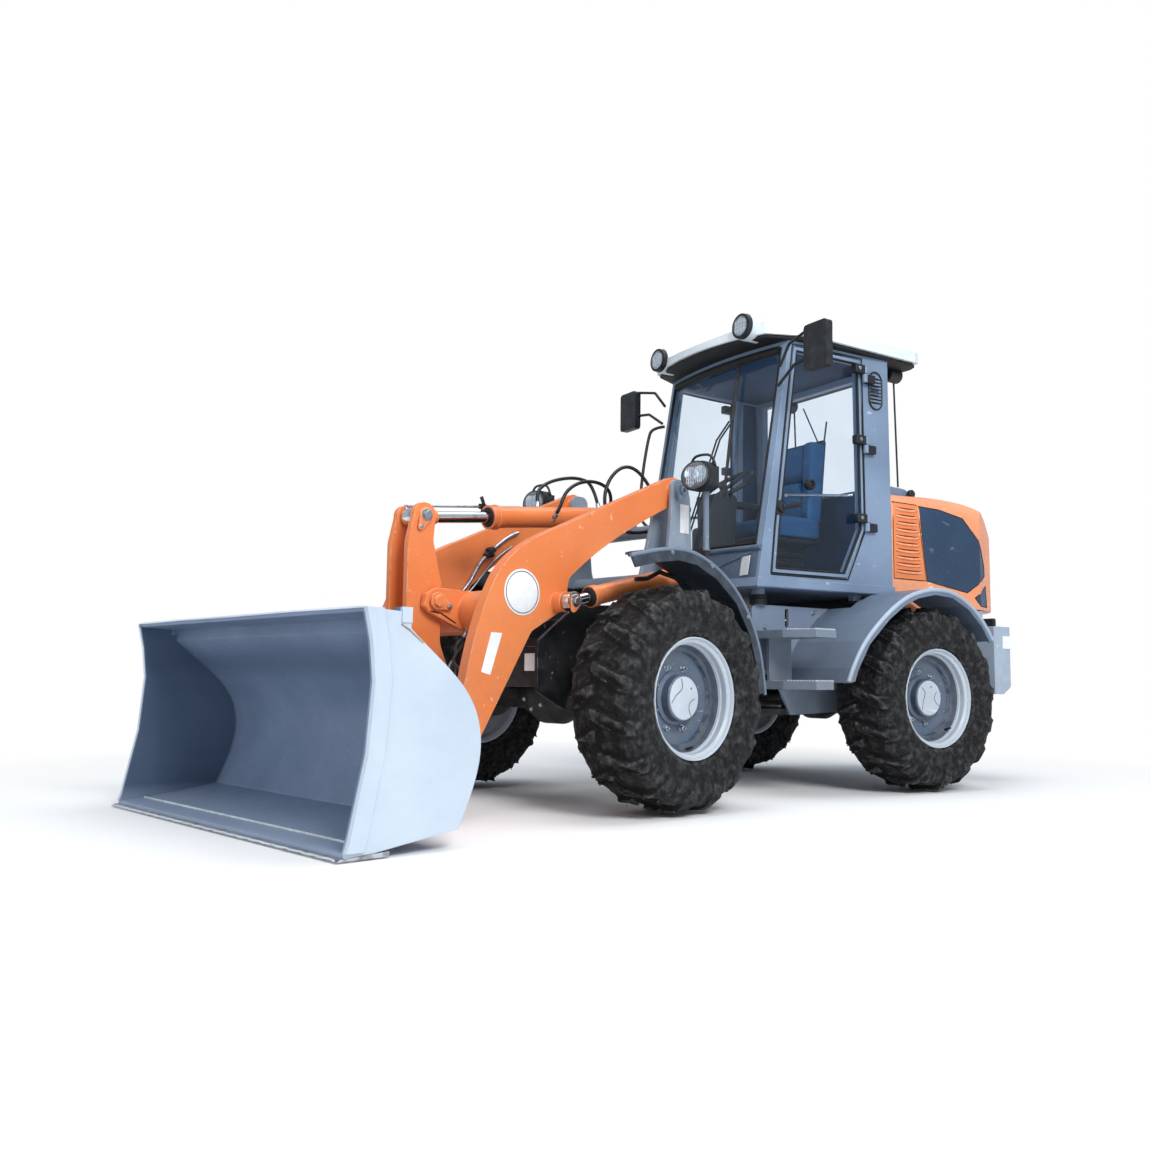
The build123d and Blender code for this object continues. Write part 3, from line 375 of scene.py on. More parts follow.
def both(pieces):
    """The pieces and their mirror images on the machine's other side, as one."""
    return joined(pieces + [copied(piece, MIRROR) for piece in pieces])


# ---- finishes ----
def sprayed_steel(name, colour, shade, worn, dirt="#8d8172", gloss=(0.30, 0.46), wear=1.0, grime=0.35, below=None):
    """Sprayed enamel over steel plate: satin gloss with slow shifts of tone, rubbed pale along its edges,
    fine pale scratches, and road dust that gathers low down."""
    paint = fresh(name)
    place = put(paint, "TexCoord", {})
    soft = put(paint, "Bevel", {"Radius": 0.004}, samples=4)
    hard = put(paint, "NewGeometry", {})
    # tone shifts over about half a metre, and blotches of some centimetres
    slow = put(paint, "TexNoise", {"Vector": (place, "Object"), "Scale": 1.9, "Detail": 3.0})
    blotch = put(paint, "TexNoise", {"Vector": (place, "Object"), "Scale": 17.0, "Detail": 7.0, "Roughness": 0.65})
    tone = put(paint, "MapRange", {"Value": (slow, "Fac"), "From Min": 0.35, "From Max": 0.65})
    coat = put(paint, "Mix", {0: (tone, "Result"), 6: linear(colour), 7: linear(shade)}, data_type="RGBA")
    height = put(paint, "SeparateXYZ", {"Vector": (place, "Object")})
    # where asked, the paint takes another colour under a height: painted shade, as on the frame under the tower
    if below:
        under = put(paint, "MapRange", {"Value": (height, "Z"), "From Min": below[1] + 0.01, "From Max": below[1]})
        coat = put(paint, "Mix", {0: (under, "Result"), 6: (coat, 2), 7: linear(below[0])}, data_type="RGBA")
    # edges where the eased normal departs from the face's own, broken up by the blotches
    meet = put(paint, "VectorMath", {0: (soft, "Normal"), 1: (hard, "True Normal")}, operation="DOT_PRODUCT")
    edge = put(paint, "MapRange", {"Value": (meet, "Value"), "From Min": 0.995, "From Max": 0.90})
    torn = put(paint, "MapRange", {"Value": (blotch, "Fac"), "From Min": 0.42, "From Max": 0.56})
    rubbed = put(paint, "Math", {0: (edge, "Result"), 1: (torn, "Result")}, operation="MULTIPLY")
    rubbed = put(paint, "Math", {0: (rubbed, "Value"), 1: wear}, operation="MULTIPLY")
    # hairline scratches, drawn about 2 mm wide so that they show
    drawn = put(paint, "Mapping", {"Vector": (place, "Object"), "Rotation": (0.4, 0.9, 0.3), "Scale": (3, 60, 9)})
    streak = put(paint, "TexNoise", {"Vector": (drawn, "Vector"), "Scale": 3.0, "Detail": 2.0})
    thin = put(paint, "MapRange", {"Value": (streak, "Fac"), "From Min": 0.70, "From Max": 0.76, "To Max": 0.5})
    marks = put(paint, "Math", {0: (rubbed, "Value"), 1: (thin, "Result")}, operation="MAXIMUM")
    rubbed_coat = put(paint, "Mix", {0: (marks, "Value"), 6: (coat, 2), 7: linear(worn)}, data_type="RGBA")
    # dust below the knees of the machine
    low = put(paint, "MapRange", {"Value": (height, "Z"), "From Min": 1.15, "From Max": 0.1, "To Max": grime})
    dusty = put(paint, "Math", {0: (low, "Result"), 1: (torn, "Result")}, operation="MULTIPLY")
    skin = put(paint, "Mix", {0: (dusty, "Value"), 6: (rubbed_coat, 2), 7: linear(dirt)}, data_type="RGBA")
    matt = put(paint, "MapRange", {"Value": (blotch, "Fac"), "From Min": 0.3, "From Max": 0.7,
                                   "To Min": gloss[0], "To Max": gloss[1]})
    # orange peel of about 4 mm
    peel = put(paint, "TexNoise", {"Vector": (place, "Object"), "Scale": 240.0, "Detail": 2.0})
    bump = put(paint, "Bump", {"Height": (peel, "Fac"), "Strength": 0.12, "Distance": 0.001,
                               "Normal": (soft, "Normal")})
    shader = put(paint, "BsdfPrincipled", {"Base Color": (skin, 2), "Roughness": (matt, "Result"), "IOR": 1.5,
                                           "Normal": (bump, "Normal")})
    put(paint, "OutputMaterial", {"Surface": (shader, "BSDF")})
    return paint


def moulded_plastic(name, colour, pale, gloss=(0.42, 0.6), grain=420.0):
    """Moulded plastic: an even tone with a fine leather grain and pale scuffs."""
    plastic = fresh(name)
    place = put(plastic, "TexCoord", {})
    soft = put(plastic, "Bevel", {"Radius": 0.003}, samples=4)
    scuff = put(plastic, "TexNoise", {"Vector": (place, "Object"), "Scale": 13.0, "Detail": 8.0, "Roughness": 0.7})
    pale_share = put(plastic, "MapRange", {"Value": (scuff, "Fac"), "From Min": 0.45, "From Max": 0.75})
    tone = put(plastic, "Mix", {0: (pale_share, "Result"), 6: linear(colour), 7: linear(pale)}, data_type="RGBA")
    matt = put(plastic, "MapRange", {"Value": (scuff, "Fac"), "From Min": 0.3, "From Max": 0.7,
                                     "To Min": gloss[0], "To Max": gloss[1]})
    pores = put(plastic, "TexVoronoi", {"Vector": (place, "Object"), "Scale": grain})
    bump = put(plastic, "Bump", {"Height": (pores, "Distance"), "Strength": 0.15, "Distance": 0.0008,
                                 "Normal": (soft, "Normal")})
    shader = put(plastic, "BsdfPrincipled", {"Base Color": (tone, 2), "Roughness": (matt, "Result"), "IOR": 1.46,
                                             "Normal": (bump, "Normal")})
    put(plastic, "OutputMaterial", {"Surface": (shader, "BSDF")})
    return plastic


def bare_metal(name, colour, stain, gloss=(0.12, 0.3), grain=(8, 160, 8)):
    """Bare or plated steel: bright, with fine turning marks and dull patches."""
    metal = fresh(name)
    place = put(metal, "TexCoord", {})
    soft = put(metal, "Bevel", {"Radius": 0.002}, samples=4)
    patch = put(metal, "TexNoise", {"Vector": (place, "Object"), "Scale": 25.0, "Detail": 6.0})
    share = put(metal, "MapRange", {"Value": (patch, "Fac"), "From Min": 0.48, "From Max": 0.7})
    tone = put(metal, "Mix", {0: (share, "Result"), 6: linear(colour), 7: linear(stain)}, data_type="RGBA")
    matt = put(metal, "MapRange", {"Value": (patch, "Fac"), "From Min": 0.3, "From Max": 0.7,
                                   "To Min": gloss[0], "To Max": gloss[1]})
    drawn = put(metal, "Mapping", {"Vector": (place, "Object"), "Scale": grain})
    lines = put(metal, "TexNoise", {"Vector": (drawn, "Vector"), "Scale": 6.0, "Detail": 3.0})
    bump = put(metal, "Bump", {"Height": (lines, "Fac"), "Strength": 0.1, "Distance": 0.0006,
                               "Normal": (soft, "Normal")})
    shader = put(metal, "BsdfPrincipled", {"Base Color": (tone, 2), "Metallic": 1.0, "Roughness": (matt, "Result"),
                                           "Normal": (bump, "Normal")})
    put(metal, "OutputMaterial", {"Surface": (shader, "BSDF")})
    return metal


def sheet_glass(name, tint, through, dust=(0.004, 0.025)):
    """Toughened glass: clear and smooth, tinted through, with a faint film of dust in places. Shadow rays pass it,
    so that the cab is lit inside."""
    glass = fresh(name)
    place = put(glass, "TexCoord", {})
    film = put(glass, "TexNoise", {"Vector": (place, "Object"), "Scale": 3.5, "Detail": 6.0})
    matt = put(glass, "MapRange", {"Value": (film, "Fac"), "From Min": 0.4, "From Max": 0.8,
                                   "To Min": 0.01, "To Max": 0.05})
    mirror = put(glass, "BsdfGlossy", {"Color": (1, 1, 1, 1), "Roughness": (matt, "Result")})
    clear = put(glass, "BsdfTransparent", {"Color": linear(through)})
    # the sheet mirrors on the face that light enters by, and lets it out at the other
    shine = put(glass, "Fresnel", {"IOR": 1.5})
    face = put(glass, "NewGeometry", {})
    leaving = put(glass, "Math", {0: 1.0, 1: (face, "Backfacing")}, operation="SUBTRACT")
    shine = put(glass, "Math", {0: (shine, "Fac"), 1: (leaving, "Value")}, operation="MULTIPLY")
    pane = put(glass, "MixShader", {0: (shine, "Value"), 1: (clear, "BSDF"), 2: (mirror, "BSDF")})
    haze = put(glass, "BsdfDiffuse", {"Color": linear(tint)})
    share = put(glass, "MapRange", {"Value": (film, "Fac"), "From Min": 0.35, "From Max": 0.75,
                                    "To Min": dust[0], "To Max": dust[1]})
    whole = put(glass, "MixShader", {0: (share, "Result"), 1: (pane, "Shader"), 2: (haze, "BSDF")})
    put(glass, "OutputMaterial", {"Surface": (whole, "Shader")})
    return glass


def muddy_rubber():
    """Tyre rubber under dried mud, with crumbs of a few millimetres: near black in the hollows as painted shade, and
    greyer as painted highlight where clods and lugs stand out."""
    rubber = fresh("muddy tyre rubber")
    place = put(rubber, "TexCoord", {})
    form = put(rubber, "NewGeometry", {})
    clods = put(rubber, "TexNoise", {"Vector": (place, "Object"), "Scale": 22.0, "Detail": 8.0, "Roughness": 0.72})
    cake = put(rubber, "TexVoronoi", {"Vector": (place, "Object"), "Scale": 55.0}, feature="SMOOTH_F1")
    # painted highlight on proud places and painted shade in hollows, read from the mesh's pointiness and broken up by
    # the clods
    proud = put(rubber, "MapRange", {"Value": (form, "Pointiness"), "From Min": 0.49, "From Max": 0.56})
    crumbs = put(rubber, "MapRange", {"Value": (clods, "Fac"), "From Min": 0.40, "From Max": 0.62})
    share = put(rubber, "Math", {0: (proud, "Result"), 1: (crumbs, "Result")}, operation="MULTIPLY")
    tone = put(rubber, "Mix", {0: (share, "Value"), 6: linear("#0c0c0d"), 7: linear("#6a6a6b")}, data_type="RGBA")
    lumps = put(rubber, "Math", {0: (clods, "Fac"), 1: (cake, "Distance"), 2: 0.4}, operation="MULTIPLY_ADD")
    bump = put(rubber, "Bump", {"Height": (lumps, "Value"), "Strength": 1.0, "Distance": 0.032})
    shader = put(rubber, "BsdfPrincipled", {"Base Color": (tone, 2), "Roughness": 0.82, "IOR": 1.5,
                                            "Specular IOR Level": 0.35, "Normal": (bump, "Normal")})
    put(rubber, "OutputMaterial", {"Surface": (shader, "BSDF")})
    return rubber


def bucket_steel():
    """Bucket plate: pale sprayed enamel outside; inside it is scoured to dull slate with long drag marks, and darker
    still as painted shade, with painted shadow on the far side wall and painted shade across the back's bend.
    """
    steel = fresh("bucket plate")
    place = put(steel, "TexCoord", {})
    soft = put(steel, "Bevel", {"Radius": 0.004}, samples=4)
    back = Matrix.Rotation(-PARKED_STEER, 4, "Z") @ Matrix.Translation(-PIVOT)
    own = put(steel, "Mapping", {"Vector": (place, "Object"), "Rotation": (0, 0, -PARKED_STEER),
                                 "Location": tuple(back.translation)})
    across = put(steel, "SeparateXYZ", {"Vector": (own, "Vector")})
    side = put(steel, "Math", {0: (across, "Y")}, operation="ABSOLUTE")
    outside = put(steel, "MapRange", {"Value": (side, "Value"), "From Min": 0.985, "From Max": 0.989})
    cloud = put(steel, "TexNoise", {"Vector": (own, "Vector"), "Scale": 2.4, "Detail": 6.0, "Roughness": 0.6})
    drag = put(steel, "Mapping", {"Vector": (own, "Vector"), "Scale": (3, 26, 40)})
    lines = put(steel, "TexNoise", {"Vector": (drag, "Vector"), "Scale": 2.0, "Detail": 5.0, "Roughness": 0.6})
    slate = put(steel, "MapRange", {"Value": (cloud, "Fac"), "From Min": 0.3, "From Max": 0.7})
    inner = put(steel, "Mix", {0: (slate, "Result"), 6: linear("#62728d"), 7: linear("#74849e")}, data_type="RGBA")
    mark = put(steel, "MapRange", {"Value": (lines, "Fac"), "From Min": 0.58, "From Max": 0.72, "To Max": 0.35})
    inner = put(steel, "Mix", {0: (mark, "Result"), 6: (inner, 2), 7: linear("#98a7bb")}, data_type="RGBA")
    # painted shadow darkens the far side wall's inside, and a band of painted shade crosses the back's bend
    right = put(steel, "MapRange", {"Value": (across, "Y"), "From Min": -0.955, "From Max": -0.962, "To Max": 0.85})
    far_wall_shadow = put(steel, "Mix", {0: (slate, "Result"), 6: linear("#42546b"), 7: linear("#50627a")},
                   data_type="RGBA")
    inner = put(steel, "Mix", {0: (right, "Result"), 6: (inner, 2), 7: (far_wall_shadow, 2)}, data_type="RGBA")
    bend = put(steel, "MapRange", {"Value": (across, "Z"), "From Min": 0.60, "From Max": 0.66, "To Max": 0.55})
    above = put(steel, "MapRange", {"Value": (across, "Z"), "From Min": 0.78, "From Max": 0.70})
    band = put(steel, "Math", {0: (bend, "Result"), 1: (above, "Result")}, operation="MULTIPLY")
    inner = put(steel, "Mix", {0: (band, "Value"), 6: (inner, 2), 7: linear("#47586f")}, data_type="RGBA")
    # the floor by the edge is scoured paler
    floor = put(steel, "MapRange", {"Value": (across, "Z"), "From Min": 0.10, "From Max": 0.02, "To Max": 0.5})
    inner = put(steel, "Mix", {0: (floor, "Result"), 6: (inner, 2), 7: linear("#aebccd")}, data_type="RGBA")
    outer = put(steel, "Mix", {0: (slate, "Result"), 6: linear("#b3c1d0"), 7: linear("#c4d0dd")}, data_type="RGBA")
    # the inside's slate is partly scoured steel and partly painted shade, against the pale outside
    skin = put(steel, "Mix", {0: (outside, "Result"), 6: (inner, 2), 7: (outer, 2)}, data_type="RGBA")
    matt = put(steel, "MapRange", {"Value": (lines, "Fac"), "From Min": 0.3, "From Max": 0.7,
                                   "To Min": 0.38, "To Max": 0.58})
    bump = put(steel, "Bump", {"Height": (lines, "Fac"), "Strength": 0.25, "Distance": 0.002,
                               "Normal": (soft, "Normal")})
    shader = put(steel, "BsdfPrincipled", {"Base Color": (skin, 2), "Roughness": (matt, "Result"), "IOR": 1.5,
                                           "Normal": (bump, "Normal")})
    put(steel, "OutputMaterial", {"Surface": (shader, "BSDF")})
    return steel


ORANGE = sprayed_steel("orange sprayed enamel", "#ec8a52", "#e27c43", "#ffd9bd", gloss=(0.26, 0.42), grime=0.25)
# the hood's orange is painted paler than the arms' as a painted highlight on its crown
HOOD_ORANGE_HIGHLIT = sprayed_steel("orange hood enamel with painted highlight", "#f2a57c", "#ee9568", "#fff0e4", gloss=(0.20, 0.34), wear=0.8)
CAB_GREY = sprayed_steel("blue grey cab enamel", "#7f93ad", "#6f829b", "#c3d3e6", wear=0.7)
PANEL_GREY = sprayed_steel("slate panel enamel", "#56677c", "#4a596d", "#9fb0c4", wear=0.6)
FRAME_GREY = sprayed_steel("grey frame enamel", "#8594a8", "#74839a", "#c9d5e3", wear=0.7, grime=0.5)
WEIGHT_GREY = sprayed_steel("pale grey cast enamel", "#a9b8c9", "#97a7ba", "#d9e2ef", wear=0.6)
# below 1.14 m the frame is painted near black as painted shade under the tower and arms
TOWER_GREY = sprayed_steel("pale tower over painted shade", "#93a1b0", "#8492a2", "#c9d5e3", wear=0.7, grime=0.5,
                           dirt="#4b4741", below=("#1b1e22", 1.14))
CHARCOAL = sprayed_steel("charcoal chassis enamel", "#25282c", "#1d2023", "#5a6068", gloss=(0.45, 0.65), grime=0.6,
                         dirt="#4b4741")
NAVY = sprayed_steel("navy panel enamel", "#2b4664", "#223a56", "#6f86a3", gloss=(0.2, 0.4), wear=0.4)
WHEEL_SILVER = sprayed_steel("silver wheel enamel", "#c6d0da", "#b4bfcb", "#eef3f7", gloss=(0.28, 0.42), grime=0.15)
# the dish and hub are the rim's silver darkened as painted shade in its recess
DISH_SHADE = sprayed_steel("wheel dish silver in painted shade", "#5f6f84", "#4f5f74", "#a3b2c2", gloss=(0.3, 0.45), grime=0.2)
STEP_GREY = sprayed_steel("zinc sprayed step", "#7a8899", "#67758a", "#c5d2e2", wear=1.0, grime=0.5)
FENDER_GREY = sprayed_steel("grey fender enamel", "#6d7d90", "#5d6c80", "#a9bacd", gloss=(0.3, 0.5), wear=0.5)
FENDER_DARK = moulded_plastic("dark moulded fender", "#2b343e", "#495562")
WHITE_ROOF = sprayed_steel("white gelcoat roof", "#e3eaee", "#d5dfe5", "#ffffff", dirt="#9fb4bd",
                           gloss=(0.2, 0.32), wear=0.3, grime=0.0)
BLACK = moulded_plastic("black moulded plastic", "#16181c", "#34383f")
SEAL = moulded_plastic("black sealing rubber", "#0d0e10", "#23262a", gloss=(0.6, 0.8), grain=200.0)
CHROME = bare_metal("hard chrome rod", "#dfe4ea", "#aeb6c0", gloss=(0.06, 0.16))
ZINC = bare_metal("zinc plated steel", "#b9c0c8", "#8b929b", gloss=(0.25, 0.4))
EDGE_STEEL = bare_metal("scoured edge steel", "#c9ced4", "#8f8f90", gloss=(0.3, 0.5), grain=(4, 90, 30))
GLASS = sheet_glass("tinted cab glass", "#3f6f98", "#f7fbff")
WINDSCREEN = sheet_glass("windscreen glass", "#6f97b6", "#fafdff")
RUBBER = muddy_rubber()
HOSE = moulded_plastic("black hose rubber", "#101114", "#2b2d31", gloss=(0.35, 0.5), grain=600.0)
PLATE_WHITE = moulded_plastic("bare white plate", "#eceef0", "#ffffff", gloss=(0.3, 0.45), grain=900.0)
FABRIC = moulded_plastic("blue seat cloth", "#1b4d78", "#2d6590", gloss=(0.75, 0.9), grain=700.0)
LENS = sheet_glass("ribbed lamp glass", "#c9d6e2", "#f4f8fb", dust=(0.10, 0.20))
RED_LENS = moulded_plastic("red lamp lens", "#a3201c", "#c8433c", gloss=(0.1, 0.2), grain=300.0)
AMBER_LENS = moulded_plastic("amber lamp lens", "#d9791a", "#eda24e", gloss=(0.1, 0.2), grain=300.0)
WELD = sprayed_steel("rusty weld bead", "#a8917c", "#8c7562", "#cbbba8")
WORN = sprayed_steel("worn pale edge", "#dbe3ec", "#c3cfdc", "#f4f7fa")
WELL_GREY = sprayed_steel("shaded slate wheel well", "#4b5a6c", "#3c4a5b", "#8796a6", gloss=(0.3, 0.5), grime=0.3)
LINING = moulded_plastic("blue cab lining", "#0f3558", "#174a78", gloss=(0.6, 0.8))
RED_DOT = moulded_plastic("red hub plug", "#c43a36", "#d8675f")
BUCKET = bucket_steel()


# ---- hoses, made first of all pieces ----
def hose(name, body, route, diameter):
    """A rubber hose along its route's control points, with a crimped ferrule at either end."""
    piece = drawn_line(name, [FRONT @ Vector(place) for place in route], diameter / 2, sides=4, steps=10)
    piece.data.materials.append(HOSE)
    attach(piece, body)
    ferrules = []
    r = diameter / 2
    for end, towards in ((route[0], route[1]), (route[-1], route[-2])):
        way = (Vector(towards) - Vector(end)).normalized()
        ferrule = turned_part([(0, -0.014), (r * 1.5, -0.014), (r * 1.6, -0.004), (r * 1.15, 0.0), (r * 1.15, 0.006),
                               (r * 1.38, 0.009), (r * 1.38, 0.034), (r * 1.2, 0.038), (0, 0.038)], 20)
        ferrule.data.transform(Matrix.Translation(end) @ way.to_track_quat("Y", "Z").to_matrix().to_4x4())
        ferrules.append(ferrule)
    fittings = keep(joined(ferrules), f"{name}_fittings", ZINC, body)


HOSE_DIAMETER = 0.019
# name, body, length, the line's control points in the straight machine's frame
for name, body, length, route in (
    ("tilt_hose_far", "tilt_barrel_body", 0.716,
     [(1.195, -0.030, 1.518), (1.200, -0.042, 1.600), (1.11, -0.085, 1.665), (0.99, -0.10, 1.715),
      (0.84, -0.10, 1.745), (0.73, -0.085, 1.72), (0.715, -0.055, 1.572)]),
    ("tilt_hose_near", "tilt_barrel_body", 0.651,
     [(1.156, 0.050, 1.462), (1.165, 0.105, 1.50), (1.13, 0.11, 1.60), (1.03, 0.108, 1.665), (0.90, 0.10, 1.69),
      (0.79, 0.09, 1.67), (0.735, 0.065, 1.615), (0.728, 0.045, 1.565)]),
    ("lift_hose_high", "lift_arm_body", 0.457,
     [(1.775, 0.182, 0.842), (1.82, 0.175, 0.77), (1.90, 0.19, 0.71), (1.93, 0.25, 0.67), (1.90, 0.31, 0.63),
      (1.84, 0.34, 0.60), (1.80, 0.358, 0.57)]),
    ("lift_hose_low", "lift_arm_body", 0.465,
     [(1.775, 0.132, 0.842), (1.82, 0.132, 0.75), (1.88, 0.15, 0.66), (1.90, 0.22, 0.60), (1.87, 0.29, 0.565),
      (1.83, 0.358, 0.54)]),
    ("arm_feed_hose", "front_half", 0.977,
     [(0.655, 0.306, 1.620), (0.70, 0.27, 1.735), (0.83, 0.25, 1.775), (0.965, 0.25, 1.66), (0.985, 0.25, 1.50),
      (0.86, 0.26, 1.40), (0.70, 0.27, 1.41), (0.600, 0.28, 1.441)]),
):
    hose(name, body, route, HOSE_DIAMETER)

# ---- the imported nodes' own finishes ----
for finish, nodes in (
    (CHARCOAL, "rear_hinge_plates front_hinge_lugs rear_axle front_axle rear_drive_shaft front_drive_shaft"),
    (CHARCOAL, "tow_hitch engine left_steer_barrel right_steer_barrel"),
    (BLACK, "roof_lamp_pods seat steering_console mirrors valve_block head_lamps"),
    (ORANGE, "louvre_panels lift_arm tilt_lever tilt_link bucket_coupler lift_barrels tilt_barrel"),
    (CAB_GREY, "hood_catch cab_frame left_door right_door"),
    (CHROME, "left_steer_rod right_steer_rod lift_rods tilt_rod"),
    (GLASS, "left_door_pane right_door_pane"),
    (WINDSCREEN, "cab_glass"),
    (FRAME_GREY, "rear_frame"),
    (WEIGHT_GREY, "counterweight"),
    (HOOD_ORANGE_HIGHLIT, "hood"),
    (NAVY, "hood_side_panels"),
    (WHITE_ROOF, "cab_roof"),
    (FENDER_GREY, "rear_fenders"),
    (FENDER_DARK, "front_fenders"),
    (STEP_GREY, "cab_steps"),
    (TOWER_GREY, "front_frame"),
    (BUCKET, "bucket"),
    (EDGE_STEEL, "cutting_edge"),
    (ZINC, "roof_lamps"),
):
    for node in nodes.split():
        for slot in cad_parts[node].material_slots:
            slot.material = finish


# ---- wheels ----
LUGS_A_SIDE = 16
WHEEL_NUTS = 8


def wheel_tyre():
    """A carcass with sixteen lugs a side, remeshed to one worn skin and caked with mud."""
    carcass = turned_part([
        (0.272, -0.150), (0.284, -0.152), (0.292, -0.172), (0.330, -0.188), (0.390, -0.196), (0.440, -0.192),
        (0.478, -0.172), (0.497, -0.145), (0.503, -0.080), (0.505, 0.0), (0.503, 0.080), (0.497, 0.145),
        (0.478, 0.172), (0.440, 0.192), (0.390, 0.196), (0.330, 0.188), (0.292, 0.172), (0.284, 0.152),
        (0.272, 0.150)], 72, closed=True)
    # one lug as (along the tread, across it, its top's radius); it starts inside the carcass
    lug_plan = [(-0.026, -0.010, 0.532), (0.026, -0.014, 0.532), (0.098, 0.140, 0.530), (0.104, 0.190, 0.482),
                (0.098, 0.199, 0.440), (0.046, 0.199, 0.440), (0.038, 0.190, 0.482), (0.032, 0.146, 0.530)]
    lug = slab([(ahead, side, 0.40) for ahead, side, top in lug_plan], (0, 0, 0.1))
    for point in lug.data.vertices:
        if point.co.z > 0.45:
            top = next(t for a, c, t in lug_plan if abs(a - point.co.x) + abs(c - point.co.y) < 1e-4)
            point.co.z = math.sqrt(top ** 2 - point.co.x ** 2)
    lugs = []
    pitch = 360 / LUGS_A_SIDE
    for turn in range(LUGS_A_SIDE):
        lugs.append(copied(lug, Matrix.Rotation(math.radians(turn * pitch), 4, "Y")))
        lugs.append(copied(lug, Matrix.Rotation(math.radians((turn + 0.5) * pitch), 4, "Y") @ MIRROR))
    bpy.data.objects.remove(lug)
    tread = joined([carcass, *lugs])
    modified(tread, "REMESH", mode="VOXEL", voxel_size=0.009)
    modified(tread, "SMOOTH", factor=0.5, iterations=3)
    mud = bpy.data.textures.new("mud clods", "CLOUDS")
    mud.noise_scale = 0.060
    mud.noise_depth = 3
    modified(tread, "DISPLACE", texture=mud, strength=0.017, mid_level=0.62, texture_coords="LOCAL")
    modified(tread, "DECIMATE", ratio=0.70)
    return smooth(tread, 60)


def wheel_rim():
    """The well rim, the recessed dish with its nuts, the hub cap and the valve, as separate finished pieces."""
    ring = turned_part([
        (0.284, 0.166), (0.285, 0.158), (0.280, 0.154), (0.270, 0.150), (0.262, 0.104), (0.230, 0.064),
        (0.230, -0.060), (0.262, -0.100), (0.270, -0.150), (0.282, -0.156), (0.282, -0.166), (0.272, -0.166),
        (0.256, -0.152), (0.250, -0.104), (0.218, -0.066), (0.218, 0.062), (0.222, 0.068), (0.236, 0.072),
        (0.250, 0.098), (0.252, 0.108), (0.256, 0.112), (0.257, 0.140), (0.264, 0.148), (0.272, 0.152),
        (0.276, 0.164), (0.280, 0.168)], 96, closed=True)
    # a sleeve lines the well and a skirt the hub's side, both darker as painted shade in the rim's recess
    well = turned_part([(0.2175, 0.021), (0.2175, 0.060), (0.2218, 0.0665), (0.2355, 0.0705), (0.2485, 0.0975),
                        (0.2475, 0.0985), (0.2350, 0.0725), (0.2205, 0.0685), (0.2160, 0.060), (0.2160, 0.021)],
                       96, closed=True)
    skirt = turned_part([(0.1085, 0.050), (0.1095, 0.050), (0.1095, 0.088), (0.1085, 0.089)], 64, closed=True)
    dish = turned_part([
        (0.2185, 0.046), (0.2185, 0.020), (0.200, 0.016), (0.0, 0.016), (0.0, 0.030), (0.150, 0.030),
        (0.160, 0.032), (0.186, 0.040), (0.204, 0.044)], 96)
    hub = turned_part([(0.0, 0.030), (0.126, 0.030), (0.126, 0.040), (0.112, 0.046), (0.108, 0.052),
                       (0.108, 0.088), (0.104, 0.092), (0.0, 0.092)], 72)
    # the cap's cover, one thin disc, with its winding seam standing a hair above it
    cap = turned_part([(0.0, 0.0915), (0.100, 0.0915), (0.101, 0.094), (0.097, 0.0975), (0.0, 0.0985)], 64)
    seams = joined([
        tube([(0.012, 0.0982, 0.092), (0.004, 0.0988, 0.052), (0.030, 0.0988, 0.034), (0.062, 0.0985, 0.020),
              (0.094, 0.0976, -0.012)], 0.0016, "seam", sides=2),
        tube([(-0.070, 0.0984, -0.012), (-0.038, 0.0988, -0.016), (-0.018, 0.0988, -0.052),
              (-0.034, 0.0982, -0.088)], 0.0014, "seam", sides=2)])
    dot = turned_part([(0.0, 0.098), (0.0045, 0.098), (0.0040, 0.1005), (0.0, 0.1012)], 16)
    dot.data.transform(Matrix.Translation((-0.052, 0, 0.040)))
    nuts = []
    for turn in range(WHEEL_NUTS):
        nut = bolt((0, 0.031, 0.152), 0.0135, 0.014)
        stud = turned_part([(0, 0.044), (0.0062, 0.044), (0.0062, 0.056), (0.0048, 0.0585), (0, 0.0585)], 16,
                           at=(0, 0, 0.152))
        round_hub = Matrix.Rotation(math.radians(turn * 360 / WHEEL_NUTS + 14), 4, "Y")
        nuts += [copied(piece, round_hub) for piece in (nut, stud)]
        bpy.data.objects.remove(nut)
        bpy.data.objects.remove(stud)
    stem = tube([(0.0, 0.060, -0.246), (0.0, 0.090, -0.236), (0.0, 0.122, -0.226)], 0.0062, "valve", sides=4)
    return ring, joined([well, skirt]), dish, hub, cap, seams, dot, joined(nuts), stem


tyre = wheel_tyre()
parts = wheel_rim()
# the well, dish and hub take painted shade in the rim's recess
RIM_LOOKS = [("rim_ring", WHEEL_SILVER), ("rim_well", WELL_GREY), ("rim_dish", DISH_SHADE), ("hub", DISH_SHADE),
             ("hub_cap", WHEEL_SILVER), ("hub_seams", CHARCOAL), ("hub_dot", RED_DOT), ("wheel_nuts", ZINC),
             ("valve", BLACK)]
